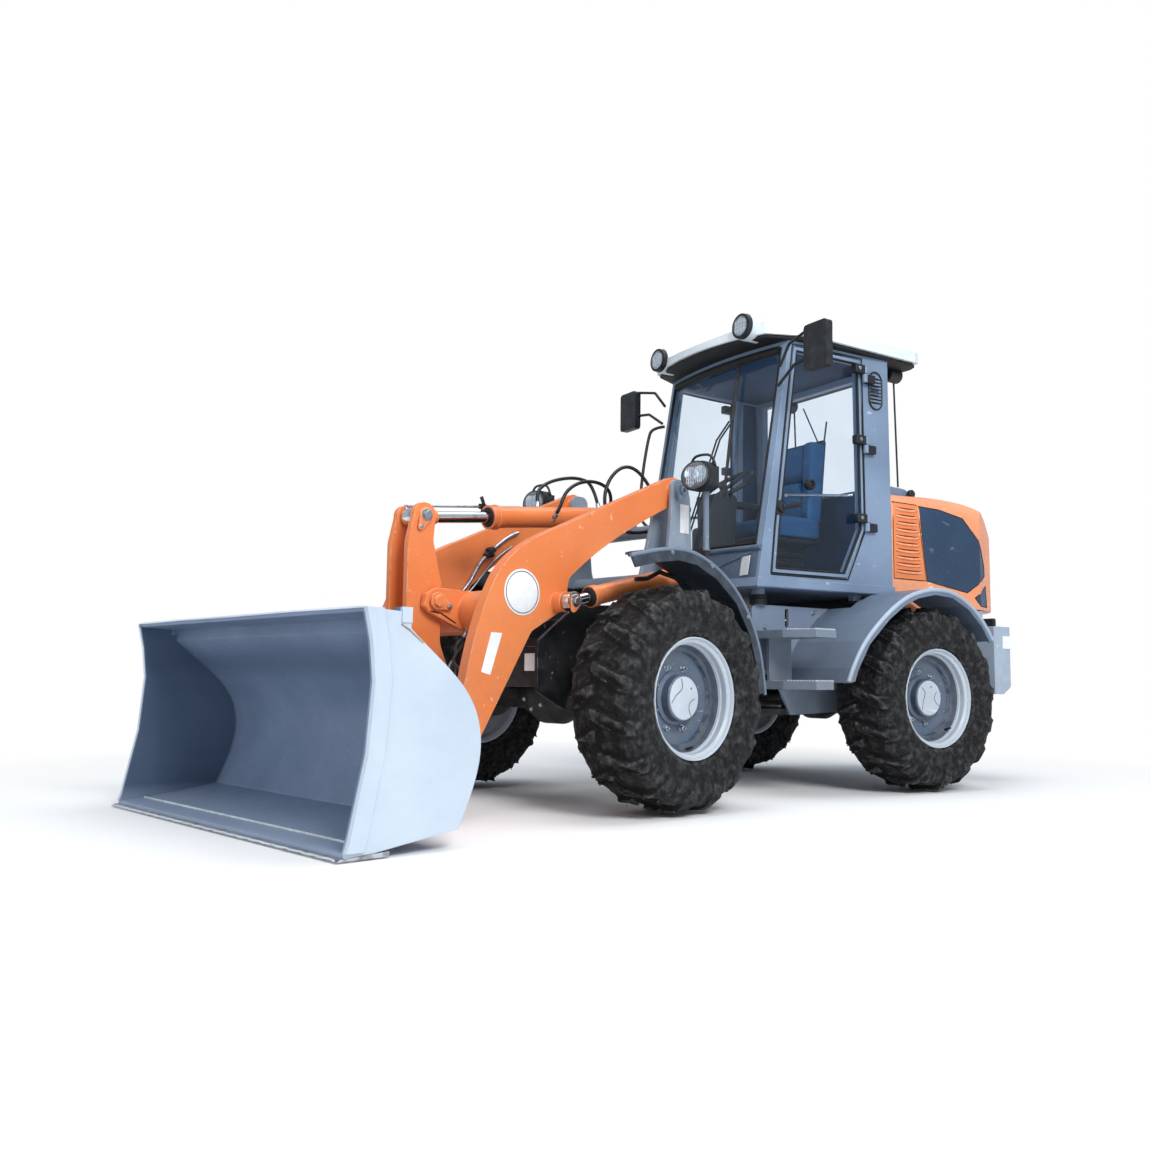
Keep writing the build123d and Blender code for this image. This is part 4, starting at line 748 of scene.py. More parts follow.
# wheel, half, distance from the pivot to the axle, side, and how far round the wheel has rolled
for wheel, half, ahead, side, rolled in (("front_left", FRONT, AXLE_X, 1, 7), ("front_right", FRONT, AXLE_X, -1, 7),
                                         ("rear_left", REAR, -AXLE_X, 1, 40), ("rear_right", REAR, -AXLE_X, -1, 40)):
    place = (half @ Matrix.Translation((ahead, side * WHEEL_Y, HUB_Z))
             @ Matrix.Rotation(0 if side > 0 else math.pi, 4, "Z")
             @ Matrix.Rotation(math.radians(rolled * side), 4, "Y"))
    own = copied(tyre, Matrix())
    keep(own, f"{wheel}_worn_tyre", RUBBER, f"{wheel}_wheel", place)
    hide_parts(f"{wheel}_tyre")
    for (name, finish), part in zip(RIM_LOOKS, parts):
        own = copied(part, Matrix())
        keep(own, f"{wheel}_{name}", finish, f"{wheel}_wheel", place)
        if name == "rim_ring":
            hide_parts(f"{wheel}_rim")
for part in (tyre, *parts):
    bpy.data.objects.remove(part)


# ---- cab ----
def cab_side(x, z):
    """How far out the cab's side is at that place."""
    foot = x + CAB_LEAN * (z - LEAN_FROM)
    return 0.552 - (0.038 + foot) * 0.0557 if foot > -0.9 else 0.600 - (0.9 + foot) * 0.055


def cab_front(y, z):
    """How far ahead the cab's bowed front is at that place."""
    return 0.025 - WINDSCREEN_BOW + math.sqrt(WINDSCREEN_BOW ** 2 - y * y) - CAB_LEAN * (z - LEAN_FROM)


def level_plate(outline, level, thick, bevel=0.002):
    """A level plate cut to the (x, y) outline, its underside at the level."""
    piece = plate(outline, -level, thick, bevel)
    piece.data.transform(Matrix.Rotation(math.radians(-90), 4, "X"))
    return piece


def along(first, last, count):
    """Places along a straight run, both ends among them."""
    return [tuple(a + (b - a) * step / count for a, b in zip(first, last)) for step in range(count + 1)]


# the windscreen's rubber seal, round its whole opening
rim = along((-0.504, 1.403), (0.504, 1.403), 12) + along((0.504, 1.403), (0.504, 2.582), 2)[1:]
rim += along((0.504, 2.582), (-0.504, 2.582), 12)[1:] + along((-0.504, 2.582), (-0.504, 1.403), 2)[1:]
screen_seal = strip([(cab_front(y, z) - 0.004, y, z) for y, z in rim], 0.010, "seal")
keep(screen_seal, "windscreen_seal", SEAL, "rear_half")
# the pressed rail that caps the windscreen's foot, and the black band under the roof's front
foot = along((-0.548, 1.378), (0.548, 1.378), 12)
foot_rail = strip([(cab_front(y, z) + 0.004, y, z) for y, z in foot], 0.016, "rail")
keep(foot_rail, "windscreen_foot_rail", PANEL_GREY, "rear_half")
roof_band = level_plate([(-0.420, 0.622), (-1.300, 0.622), (-1.352, 0.600), (-1.372, 0.550), (-1.372, -0.550),
                         (-1.352, -0.600), (-1.300, -0.622), (-0.420, -0.622), (-0.165, -0.512), (-0.105, -0.36),
                         (-0.072, -0.18), (-0.062, 0.0), (-0.072, 0.18), (-0.105, 0.36), (-0.165, 0.512)],
                        2.622, 0.022, 0.006)
keep(roof_band, "roof_underside_seal", SEAL, "rear_half")
# a header band of black along the windscreen's head
head = along((-0.49, 2.575), (0.49, 2.575), 12)
head_band = strip([(cab_front(y, z) - 0.012, y, z) for y, z in head], 0.026, "band")
keep(head_band, "windscreen_head_band", SEAL, "rear_half")

# a slanting crease in the panel between the windscreen and the floor, and a blank plate
crease = [(cab_front(y, z) + 0.006, y, z) for y, z in along((0.10, 1.235), (0.49, 1.352), 6)]
keep(strip(crease, 0.006, "crease"), "front_panel_crease", PANEL_GREY, "rear_half")
sign = block((0.003, 0.128, 0.112), (cab_front(0.445, 1.275) + 0.0095, 0.445, 1.275), 0.001, 1,
             turn=(0, -10, -10.5))
keep(sign, "blank_square_plate", PLATE_WHITE, "rear_half")

# the slate panel below the windscreen, bowed and leaning as the cab's front is
low, tall = 1.165, 0.195
bow = [(cab_front(y, low) + 0.003, y) for y in [-0.535 + 0.0535 * n for n in range(21)]]
front_panel = level_plate(bow + [(x - 0.012, y) for x, y in reversed(bow)], low, tall, 0)
for point in front_panel.data.vertices:
    point.co.x -= CAB_LEAN * (point.co.z - low)
keep(front_panel, "front_lower_panel", PANEL_GREY, "rear_half")
# lining: head cloth, back, floor mat and pillars
cloth = level_plate([(-0.352, -0.495), (-0.345, -0.30), (-0.340, 0.0), (-0.345, 0.30), (-0.352, 0.495),
                     (-1.050, 0.540), (-1.050, -0.540)], 2.578, 0.014)
back = block((0.012, 1.060, 0.600), (-1.047, 0.0, 1.510), 0.004, 2)
mat = level_plate([(-0.105, -0.49), (-0.105, 0.49), (-1.040, 0.545), (-1.040, -0.545)], 1.2055, 0.006)
posts = [block((0.120, 0.012, 1.000), (-0.985, side * 0.545, 2.070), 0.004, 2) for side in (1, -1)]
keep(joined([cloth, back, mat, *posts]), "cab_lining", LINING, "rear_half")

DOOR_EDGE = [(-0.160, 1.240), (-0.190, 1.500), (-0.345, 2.590), (-0.870, 2.590), (-0.870, 1.535), (-0.720, 1.240)]
DOOR_GLASS = [(-0.186, 1.264), (-0.213, 1.502), (-0.364, 2.566), (-0.848, 2.566), (-0.848, 1.541), (-0.707, 1.264)]


def round_path(outline, count):
    """A closed path of places along an outline."""
    path = []
    for first, last in zip(outline, outline[1:] + outline[:1]):
        path += along(first, last, count)[:-1]
    return path + path[:1]


for side, hand in ((1, "left"), (-1, "right")):
    body = f"{hand}_door_body"
    # seals: a lip of rubber round the pane, and a bulb in the gap that the cab keeps
    lip = strip([(x, side * (cab_side(x, z) - 0.006), z) for x, z in round_path(DOOR_GLASS, 3)], 0.009, "lip")
    keep(lip, f"{hand}_door_glass_seal", SEAL, body)
    grown = [(x + (0.012 if x > -0.5 else -0.012), z + (0.012 if z > 2 else -0.012 if z < 1.3 else 0.0))
             for x, z in DOOR_EDGE]
    bulb = strip([(x, side * (cab_side(x, z) - 0.002), z) for x, z in round_path(grown, 3)], 0.0065, "bulb")
    keep(bulb, f"{hand}_door_bulb_seal", SEAL, "rear_half")
    # hinge covers with their screws: the leaf's half and the pillar's half of each hinge
    leaf_half, post_half = [], []
    for z in HINGE_HEIGHTS:
        leaf_half.append(block((0.082, 0.044, 0.054), (-0.832, side * 0.604, z + 0.0245), 0.006, 3))
        post_half.append(block((0.074, 0.044, 0.052), (-0.923, side * 0.604, z - 0.0275), 0.006, 3))
    keep(joined(leaf_half), f"{hand}_hinge_leaf_covers", BLACK, body)
    keep(joined(post_half), f"{hand}_hinge_post_covers", BLACK, "rear_half")
    screws = [turned_part([(0, 0), (0.011, 0), (0.011, 0.003), (0.006, 0.005), (0, 0.005)], 16,
                          at=(-0.825, 0.6255, z + 0.026)) for z in HINGE_HEIGHTS]
    screws = joined(screws)
    if side < 0:
        screws = swapped(screws)
    keep(screws, f"{hand}_hinge_screws", ZINC, body)
    # door handle on its round boss, on the pane's lower front corner
    y = cab_side(-0.225, 1.617)
    boss = turned_part([(0, -0.012), (0.030, -0.012), (0.032, 0.004), (0.027, 0.016), (0.014, 0.020), (0, 0.020)], 32,
                       at=(-0.228, y, 1.617))
    lever = block((0.150, 0.018, 0.024), (-0.292, y + 0.026, 1.633), 0.008, 3, turn=(0, 13, 0))
    grip = block((0.070, 0.024, 0.030), (-0.330, y + 0.027, 1.642), 0.010, 3, turn=(0, 13, 0))
    foot_plate = block((0.058, 0.010, 0.090), (-0.225, y - 0.004, 1.615), 0.004, 2)
    button = turned_part([(0, 0.018), (0.010, 0.018), (0.009, 0.024), (0, 0.025)], 20, at=(-0.228, y, 1.617))
    knob = turned_part([(0, -0.010), (0.030, -0.010), (0.034, 0.000), (0.034, 0.020), (0.029, 0.028), (0.020, 0.028),
                        (0.017, 0.016), (0, 0.016)], 32, at=(-0.440, cab_side(-0.44, 1.77), 1.772))
    handle = joined([boss, lever, grip, foot_plate, knob])
    if side < 0:
        handle, button = swapped(handle), swapped(button)
    keep(handle, f"{hand}_door_handle", BLACK, body)
    keep(button, f"{hand}_door_handle_button", ZINC, body)
    # grab rail inside the door
    rail = [(-0.262, 0.560, 1.690), (-0.300, 0.535, 1.700), (-0.780, 0.545, 1.745), (-0.806, 0.570, 1.748)]
    rail = tube([(x, side * y, z) for x, y, z in rail], 0.009, "rail", round_off=False)
    keep(rail, f"{hand}_door_rail", ZINC, body)

# rear pillar intakes: an oval frame, slats and two screws a side
vent_parts, screws = [], []
VENT_X = -0.992
frame_ring = turned_part([(0.050, 0.0), (0.060, 0.0), (0.060, 0.006), (0.055, 0.009), (0.050, 0.006)], 48,
                         closed=True)
for point in frame_ring.data.vertices:
    point.co.z += 0.062 if point.co.z > 0 else -0.062
frame_ring.data.transform(Matrix.Translation((VENT_X, cab_side(VENT_X, 2.415), 2.415)))
vent_parts.append(frame_ring)
for slat in range(8):
    z = 2.340 + slat * 0.0215
    vent_parts.append(block((0.094, 0.010, 0.008), (VENT_X, cab_side(VENT_X, z) + 0.002, z), 0.002, 1,
                            turn=(25, 0, 0)))
for z in (2.322, 2.508):
    screws.append(turned_part([(0, 0), (0.006, 0), (0.005, 0.004), (0, 0.005)], 12,
                              at=(VENT_X, cab_side(VENT_X, z) + 0.002, z)))
keep(both(vent_parts), "pillar_vent_trims", BLACK, "rear_half")
keep(both(screws), "pillar_vent_screws", ZINC, "rear_half")


# windscreen wiper: spindle box, two parallel rods, blade with its spine
def on_screen(y, z, proud):
    """A place standing that far off the windscreen."""
    return (cab_front(y, z) + proud, y, z)


arms = [strip([on_screen(y - 0.018, 1.392, 0.030), on_screen(y + 0.17, 2.08, 0.024),
               on_screen(y + 0.255, 2.185, 0.020)], 0.0055, "arm") for y in (-0.060, -0.030)]
spine = strip([on_screen(0.229, 1.715, 0.014), on_screen(0.217, 2.14, 0.020), on_screen(0.204, 2.546, 0.014)],
              0.0075, "blade")
squeegee = strip([on_screen(0.229, 1.712, 0.006), on_screen(0.204, 2.549, 0.006)], 0.0045, "rubber")
spindle = block((0.05, 0.11, 0.05), on_screen(-0.062, 1.372, 0.018), 0.012, 3)
keep(joined([*arms, spine, squeegee, spindle]), "front_wiper", BLACK, "rear_half")
# the rear window's wiper
blade = strip([(-1.262, -0.16, 1.93), (-1.300, -0.11, 2.41)], 0.006, "blade")
arm = strip([(-1.250, -0.28, 2.53), (-1.285, -0.14, 2.20), (-1.275, -0.135, 2.16)], 0.005, "arm")
keep(joined([blade, arm]), "rear_wiper", BLACK, "rear_half")

# two rods down the cab's back, from the roof's edge to the hood
keep(both([strip([(-1.327, 0.45, 2.640), (-1.353, 0.45, 1.875)], 0.006, "rod")]), "rear_cab_rods", BLACK, "rear_half")
# grab rail on the cab's far front pillar
far_rail = tube([(-0.120, -0.552, 1.62), (-0.060, -0.600, 1.64), (-0.085, -0.600, 1.95), (-0.135, -0.600, 2.22),
                 (-0.160, -0.590, 2.30), (-0.232, -0.545, 2.31)], 0.010, "rail")
keep(far_rail, "far_grab_rail", BLACK, "rear_half")


# ---- driver's seat, padded ----
def cushion(size, at, turn=(0, 0, 0), crown=0.22):
    """A stuffed cushion: a block with deeply rounded edges, filled out again towards its box."""
    piece = block(size, at, min(size) * 0.34, 5, turn)
    modified(piece, "SUBSURF", levels=1)
    modified(piece, "CAST", factor=crown * 0.5, cast_type="CUBOID")
    return smooth(piece, 60)


# the seat's middle and side rolls, then the back's lower and upper pads and its side rolls
LEAN_BACK = (0, -6, 0)
pads = [cushion((0.44, 0.30, 0.120), (-0.640, 0.0, 1.566))]
pads += [cushion((0.46, 0.105, 0.150), (-0.640, y, 1.575)) for y in (0.192, -0.192)]
pads += [cushion((0.100, 0.27, 0.28), (-0.850, 0.0, 1.760), LEAN_BACK),
         cushion((0.100, 0.27, 0.24), (-0.877, 0.0, 2.020), LEAN_BACK)]
pads += [cushion((0.130, 0.095, 0.54), (-0.858, y, 1.880), LEAN_BACK) for y in (0.178, -0.178)]
seat_pads = keep(joined(pads), "seat_cushions", FABRIC, "rear_half")
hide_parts("seat")
# seams piped along the channels; the shell, pan, bellows, base and armrest
piping = [tube([(-0.845, side * 0.148, 1.615), (-0.70, side * 0.146, 1.634), (-0.55, side * 0.146, 1.632),
                (-0.43, side * 0.148, 1.60)], 0.004, "piping") for side in (1, -1)]
keep(joined(piping), "seat_piping", BLACK, "rear_half")
shell = block((0.040, 0.400, 0.600), (-0.930, 0.0, 1.880), 0.018, 3, turn=LEAN_BACK)
pan = block((0.480, 0.440, 0.040), (-0.645, 0.0, 1.496), 0.015, 3)
folds = [block((0.340 - 0.03 * (n % 2), 0.320 - 0.03 * (n % 2), 0.030), (-0.640, 0.0, 1.245 + 0.028 * n), 0.010, 2)
         for n in range(9)]
base = block((0.380, 0.360, 0.030), (-0.640, 0.0, 1.220), 0.008, 2)
armrest = block((0.28, 0.055, 0.05), (-0.700, -0.270, 1.780), 0.020, 3)
armpost = block((0.035, 0.030, 0.20), (-0.820, -0.262, 1.690), 0.008, 2)
keep(joined([shell, pan, *folds, base, armrest, armpost]), "seat_shell_and_suspension", BLACK, "rear_half")
# control pod with its joystick, and the column's levers
pod = block((0.34, 0.14, 0.42), (-0.560, -0.400, 1.420), 0.030, 3)
stick = tube([(-0.500, -0.400, 1.62), (-0.490, -0.400, 1.70), (-0.470, -0.398, 1.76)], 0.010, "stick")
grip = cushion((0.05, 0.045, 0.12), (-0.465, -0.397, 1.800), (0, 12, 0))
stalk = tube([(-0.300, 0.03, 1.800), (-0.300, 0.12, 1.815), (-0.310, 0.20, 1.830)], 0.006, "stalk")
keep(joined([pod, stick, grip, stalk]), "control_pod", BLACK, "rear_half")


# ---- working gear ----
KEEPER_END = 0.016


def keeper(pin, away, radius, left, thick=0.008):
    """A pin's keeper: a drop-shaped plate from the pin's middle out to its small bolt."""
    x, z = pin
    turn = math.atan2(away[1] - z, away[0] - x)
    outline = [(x + radius * math.cos(turn + math.radians(a)), z + radius * math.sin(turn + math.radians(a)))
               for a in range(60, 301, 20)]
    outline += [(away[0] + KEEPER_END * math.cos(turn + math.radians(a)),
                 away[1] + KEEPER_END * math.sin(turn + math.radians(a))) for a in range(-60, 61, 30)]
    return plate(outline, left + thick, thick, 0.002)


def across(pin, left):
    """A place on a pin's axis, that far to the machine's left."""
    return (pin[0], left, pin[1])


# lever top pin, either side
keeper_plate = keeper(LEVER_TOP, (2.030, 1.318), 0.036, 0.093)
keep(both([keeper_plate]), "lever_pin_keepers", ORANGE, "tilt_lever_body")
keep(both([bolt(across(LEVER_TOP, 0.101), 0.022, 0.014), bolt((2.030, 0.101, 1.318), 0.0075, 0.006)]),
     "lever_top_bolts", ZINC, "tilt_lever_body")
# lever pivot on the arm's brackets
keeper_plate = keeper(LEVER_PIN, (1.892, 0.950), 0.040, 0.135)
keep(both([keeper_plate, bolt(across(LEVER_PIN, 0.143), 0.030, 0.016)]), "lever_pivot_keepers", ORANGE,
     "lift_arm_body")
keep(both([bolt((1.888, 0.143, 0.948), 0.011, 0.009)]), "lever_pivot_bolts", ZINC, "lift_arm_body")
edge_line = strip([(1.985, 0.1265, 0.924), (1.925, 0.1265, 0.918), (1.840, 0.1265, 0.876)], 0.003, "weld")
keep(edge_line, "bracket_weld", SEAL, "lift_arm_body")
# lift ram eye, arm top pin and bucket pins
eye_keeper = keeper(LIFT_EYE, (1.470, 0.945), 0.034, 0.540, 0.006)
keep(both([eye_keeper]), "lift_eye_keepers", ORANGE, "lift_rods_body")
keep(both([bolt(across(LIFT_EYE, 0.546), 0.021, 0.012), bolt((1.478, 0.546, 1.004), 0.006, 0.010)]),
     "lift_eye_bolts", ZINC, "lift_rods_body")
top_keeper = keeper(ARM_PIN, (0.640, 1.585), 0.040, 0.475, 0.006)
keep(both([top_keeper]), "arm_pin_keepers", CAB_GREY, "front_half")
cap_ring = turned_part([(0.014, 0.0), (0.022, 0.0), (0.022, 0.008), (0.014, 0.008)], 32, at=across(ARM_PIN, 0.481),
                       closed=True)
keep(both([cap_ring, bolt((0.640, 0.481, 1.588), 0.009, 0.008)]), "arm_pin_bolts", ZINC, "front_half")
keep(both([bolt(across(BUCKET_PIN, 0.472), 0.022, 0.014), bolt((2.100, 0.470, 0.345), 0.010, 0.008)]),
     "bucket_pin_bolts", ZINC, "bucket_body")


def ram_collar(base, end, start_at, section, steps=48):
    """A turned part about a ram's axis, its section measured from the place that far along the ram."""
    piece = turned_part(section, steps, closed=True)
    way = (Vector(end) - Vector(base)).normalized()
    turn = way.to_track_quat("Y", "Z").to_matrix().to_4x4()
    piece.data.transform(Matrix.Translation(Vector(base) + way * start_at) @ turn)
    return piece


# how far along each ram its gland is, and the tilt rod's neck by its eye
TILT_GLAND, TILT_NECK, LIFT_GLAND = 0.933, 1.262, 0.698
# gland rings: a proud orange collar, and the black wiper seal in its mouth
collar = [(0.0615, -0.052), (0.0640, -0.050), (0.0640, -0.034), (0.0615, -0.032)]
keep(ram_collar(*TILT_RAM, TILT_GLAND, collar), "tilt_gland_collar", ORANGE, "tilt_barrel_body")
lip = [(0.029, -0.004), (0.046, -0.004), (0.050, 0.002), (0.046, 0.006), (0.030, 0.008)]
keep(ram_collar(*TILT_RAM, TILT_GLAND, lip), "tilt_gland_seal", SEAL, "tilt_barrel_body")
thin_lip = [(0.028, -0.004), (0.046, -0.004), (0.047, 0.004), (0.040, 0.008), (0.029, 0.010)]
keep(both([ram_collar(*LIFT_RAM, LIFT_GLAND, thin_lip)]), "lift_gland_seals", SEAL, "lift_barrels_body")
neck = [(0.0275, 0.0), (0.034, 0.0), (0.034, 0.040), (0.0275, 0.044)]
keep(ram_collar(*TILT_RAM, TILT_NECK, neck), "tilt_rod_neck", ORANGE, "tilt_rod_body")
# bucket level rod above the tilt ram: it slides in a guide that stands on the gland
level_rod = strip([(2.018, -0.055, 1.433), (1.290, -0.055, 1.5164)], 0.006, "level rod")
stop = strip([(2.016, -0.055, 1.438), (2.012, -0.050, 1.395)], 0.007, "stop")
keep(joined([level_rod, stop]), "bucket_level_rod", ZINC, "tilt_rod_body")
guide = joined([turned_part([(0.0075, -0.02), (0.014, -0.02), (0.014, 0.02), (0.0075, 0.02)], 20, axis="X",
                            at=(1.548, -0.055, 1.487), closed=True),
                block((0.034, 0.016, 0.040), (1.548, -0.044, 1.458), 0.005, 2)])
horn = block((0.018, 0.012, 0.050), (1.560, -0.040, 1.512), 0.004, 2, turn=(0, 24, 0))
keep(joined([guide, horn]), "level_rod_guide", BLACK, "tilt_barrel_body")

# steel pipes down the far arm, in their clamp
pipe = tube([(1.060, -0.346, 1.430), (1.120, -0.346, 1.412), (1.265, -0.346, 1.300), (1.345, -0.346, 1.220),
             (1.398, -0.346, 1.115), (1.500, -0.346, 1.020)], 0.0105, "pipe")
thin_pipe = tube([(1.100, -0.350, 1.350), (1.230, -0.350, 1.270), (1.340, -0.350, 1.130), (1.430, -0.350, 1.040)],
                 0.006, "pipe")
keep(joined([pipe, thin_pipe]), "far_arm_pipes", ZINC, "lift_arm_body")
clamp = joined([block((0.080, 0.030, 0.034), (1.262, -0.345, 1.302), 0.008, 3, turn=(0, 40, 0)),
                block((0.024, 0.030, 0.060), (1.262, -0.340, 1.302), 0.006, 2, turn=(0, 40, 0))])
keep(clamp, "pipe_clamp", BLACK, "lift_arm_body")

# blank plates: the round disc with its dark ring, and the stickers
DISC_MIDDLE = (1.683, 0.4202, 1.0175)
disc = turned_part([(0, 0), (0.108, 0), (0.108, 0.0015), (0.107, 0.002), (0, 0.002)], 72, at=DISC_MIDDLE)
keep(disc, "blank_round_plate", PLATE_WHITE, "lift_arm_body")
ring = turned_part([(0.0950, 0.0015), (0.0990, 0.0015), (0.0990, 0.0028), (0.0950, 0.0028)], 72, closed=True,
                   at=DISC_MIDDLE)
keep(ring, "round_plate_ring", NAVY, "lift_arm_body")
sticker = plate([(1.798, 0.8235), (1.863, 0.6335), (1.915, 0.6465), (1.862, 0.8255)], 0.4215, 0.0015, 0)
keep(sticker, "blank_arm_sticker", PLATE_WHITE, "lift_arm_body")
tower_sticker = plate([(0.545, 1.405), (0.615, 1.405), (0.615, 1.560), (0.545, 1.560)], 0.4615, 0.0015, 0)
box_labels = [block((0.0015, 0.075, 0.085), (1.481, 0.250, 0.700), 0), block((0.060, 0.075, 0.0015),
                                                                         (1.440, 0.250, 0.776), 0)]
keep(joined([tower_sticker, *box_labels]), "blank_front_stickers", PLATE_WHITE, "front_half")

# ---- front half ----
# head lamps: rim, chromed bowls and a domed lens on the lamp's own body
LAMP_FACE, LAMP_Z = 0.6885, 1.680
for side, hand in ((1, "left"), (-1, "right")):
    y = side * 0.634
    oval = Matrix.Translation((LAMP_FACE, y, LAMP_Z)) @ Matrix.Diagonal((1, 0.096, 0.076, 1))
    bezel = turned_part([(0.92, 0.0), (1.0, 0.0), (1.0, 0.012), (0.96, 0.016), (0.92, 0.012)], 48, axis="X",
                        closed=True)
    bezel.data.transform(oval)
    keep(bezel, f"{hand}_head_lamp_bezel", BLACK, "front_half")
    bowls = []
    for out, up, size in ((0.030, 0.006, 0.042), (-0.036, 0.014, 0.036), (-0.030, -0.036, 0.022)):
        bowls.append(turned_part([(0, 0.002), (size * 0.35, 0.002), (size * 0.9, 0.010), (size, 0.011), (size, 0.001),
                                  (0, 0.0005)], 32, axis="X", at=(LAMP_FACE, y + out, LAMP_Z + up)))
    keep(joined(bowls), f"{hand}_head_lamp_bowls", CHROME, "front_half")
    lens = turned_part([(0, 0.010), (0.94, 0.010), (0.93, 0.014), (0.75, 0.0185), (0.45, 0.022), (0, 0.0235)], 48,
                       axis="X")
    lens.data.transform(oval)
    keep(lens, f"{hand}_head_lamp_lens", LENS, "front_half")
    ribs = [block((0.0015, 0.0022, 0.085), (LAMP_FACE + 0.021, y + 0.012 * n, LAMP_Z), 0) for n in range(-4, 5)]
    keep(joined(ribs), f"{hand}_head_lamp_ribs", PLATE_WHITE, "front_half")
    post = turned_part([(0.0, 0.0), (0.018, 0.0), (0.018, 0.012), (0.0155, 0.020), (0.0155, 0.290), (0.019, 0.300),
                        (0.019, 0.318), (0.0, 0.318)], 24, axis="Z", at=(0.605, side * 0.630, 1.295))
    keep(post, f"{hand}_lamp_post_sleeve", FENDER_GREY, "front_half")
    guard = tube([(0.640, y - 0.080, 1.740), (0.640, y - 0.070, 1.790), (0.640, y, 1.800), (0.640, y + 0.07, 1.785),
                  (0.640, y + 0.085, 1.730)], 0.007, "guard")
    keep(guard, f"{hand}_lamp_guard", BLACK, "front_half")

FRONT_FENDER = [(0.480, 0.560), (0.500, 0.720), (0.560, 0.880), (0.680, 1.050), (0.850, 1.168), (1.010, 1.228),
                (1.150, 1.240), (1.320, 1.215), (1.470, 1.178)]
REAR_FENDER = [(-0.320, 0.630), (-0.350, 0.700), (-0.450, 0.850), (-0.620, 1.000), (-0.760, 1.090), (-0.880, 1.140),
               (-1.040, 1.170), (-1.200, 1.160), (-1.350, 1.097), (-1.480, 0.995), (-1.560, 0.890)]
lips = [tube([(x, 0.907, z - 0.006) for x, z in FRONT_FENDER], 0.009, "lip")]
keep(both(lips), "front_fender_lips", FENDER_GREY, "front_half")
lips = [tube([(x, 0.966, z - 0.004) for x, z in REAR_FENDER], 0.012, "lip")]
keep(both(lips), "rear_fender_lips", WEIGHT_GREY, "rear_half")
struts = [tube([(1.090, 0.584, 1.112), (1.010, 0.586, 1.122), (0.930, 0.595, 1.160), (0.830, 0.620, 1.135),
                (0.700, 0.640, 1.045)], 0.012, "strut", round_off=False)]
keep(both(struts), "front_fender_struts", BLACK, "front_half")
heads = [bolt((x, 0.9105, z), 0.008, 0.005) for x, z in ((0.620, 0.940), (0.900, 1.170), (1.192, 1.210))]
keep(both(heads), "front_fender_bolts", ZINC, "front_half")
# cover bolts on the front axle's differential
cover = [bolt((1.230, 0.075 * math.cos(a), HUB_Z + 0.075 * math.sin(a)), 0.008, 0.007, "X")
         for a in (0.3, 1.35, 2.4, 3.45, 4.5, 5.55)]
keep(joined(cover), "front_axle_bolts", ZINC, "front_half")

# ---- bucket ----
BUCKET_FRONT = [(2.935, 0.030), (2.925, 0.060), (2.904, 0.157), (2.861, 0.357), (2.842, 0.604), (2.857, 0.740),
                (2.883, 0.858)]
seam = [strip([(x - 0.070, 0.9965, z) for x, z in BUCKET_FRONT], 0.0035, "weld")]
corner = [strip([(2.735, 0.9965, 0.804), (2.700, 0.9965, 0.785), (2.640, 0.9965, 0.742)], 0.003, "weld")]
keep(both(seam + corner), "side_cutter_welds", WELD, "bucket_body")
# the floor's weld to the cutting edge, laid in short runs, and the worn lip in front of it
runs = [(2.826 + 0.004 * (n % 2), -0.960 + 0.030 * n, 0.0405) for n in range(65)]
keep(strip(runs, 0.005, "weld"), "floor_weld", WORN, "bucket_body")
nose = strip([(2.962 - 0.003 * (n % 3), -0.975 + 0.0325 * n, 0.0105) for n in range(61)], 0.0042, "nose")
keep(nose, "worn_edge_nose", WORN, "bucket_body")
# a pale strip along the back's top lip: wear, and a painted highlight along its edge
lip_wear_and_highlight = strip([(2.883, -0.985, 0.859), (2.880, -0.5, 0.8615), (2.882, 0.0, 0.860), (2.880, 0.5, 0.8615),
                  (2.883, 0.985, 0.859)], 0.004, "lip")
keep(lip_wear_and_highlight, "bucket_lip_wear_and_highlight", WORN, "bucket_body")


# ---- hood and tail ----
SHOULDER_Z, SHOULDER_RADIUS = 1.695, 0.13


def hood_side(x, z):
    """How far out the hood's side is at that place, with its rounded shoulder and drawn-in tail."""
    flat = 0.600 if x > -1.960 else 0.600 - (-1.960 - x) * 0.4167
    if z > SHOULDER_Z:
        flat = min(flat, 0.470 + math.sqrt(max(SHOULDER_RADIUS ** 2 - (z - SHOULDER_Z) ** 2, 0.0)))
    return flat


LOUVRE_SIDE = [(-1.125, 1.738), (-1.352, 1.738), (-1.425, 1.262), (-1.125, 1.262)]
PANEL_SIDE = [(-1.366, 1.732), (-1.560, 1.728), (-1.790, 1.692), (-1.950, 1.560), (-2.048, 1.404), (-2.055, 1.335),
              (-1.824, 1.210), (-1.433, 1.262)]
LOWER_SIDE = [(-1.900, 1.180), (-2.072, 1.272), (-2.095, 1.130), (-1.960, 1.130)]
joints = [strip([(x, hood_side(x, z) - 0.001, z) for x, z in round_path(outline, 4)], 0.0035, "joint")
          for outline in (LOUVRE_SIDE, PANEL_SIDE, LOWER_SIDE)]
keep(both(joints), "hood_panel_joints", SEAL, "rear_half")
# rolled rims on the louvre blades
rims = []
for level in range(10):
    z = 1.310 + level * 0.043
    back = -1.383 + level * 0.005
    rims.append(tube([(-1.152, 0.596, z + 0.004), (-1.160, 0.603, z - 0.006), (back + 0.012, 0.603, z - 0.006),
                      (back + 0.004, 0.596, z + 0.004)], 0.0075, "rim"))
keep(both(rims), "louvre_rims", HOOD_ORANGE_HIGHLIT, "rear_half")
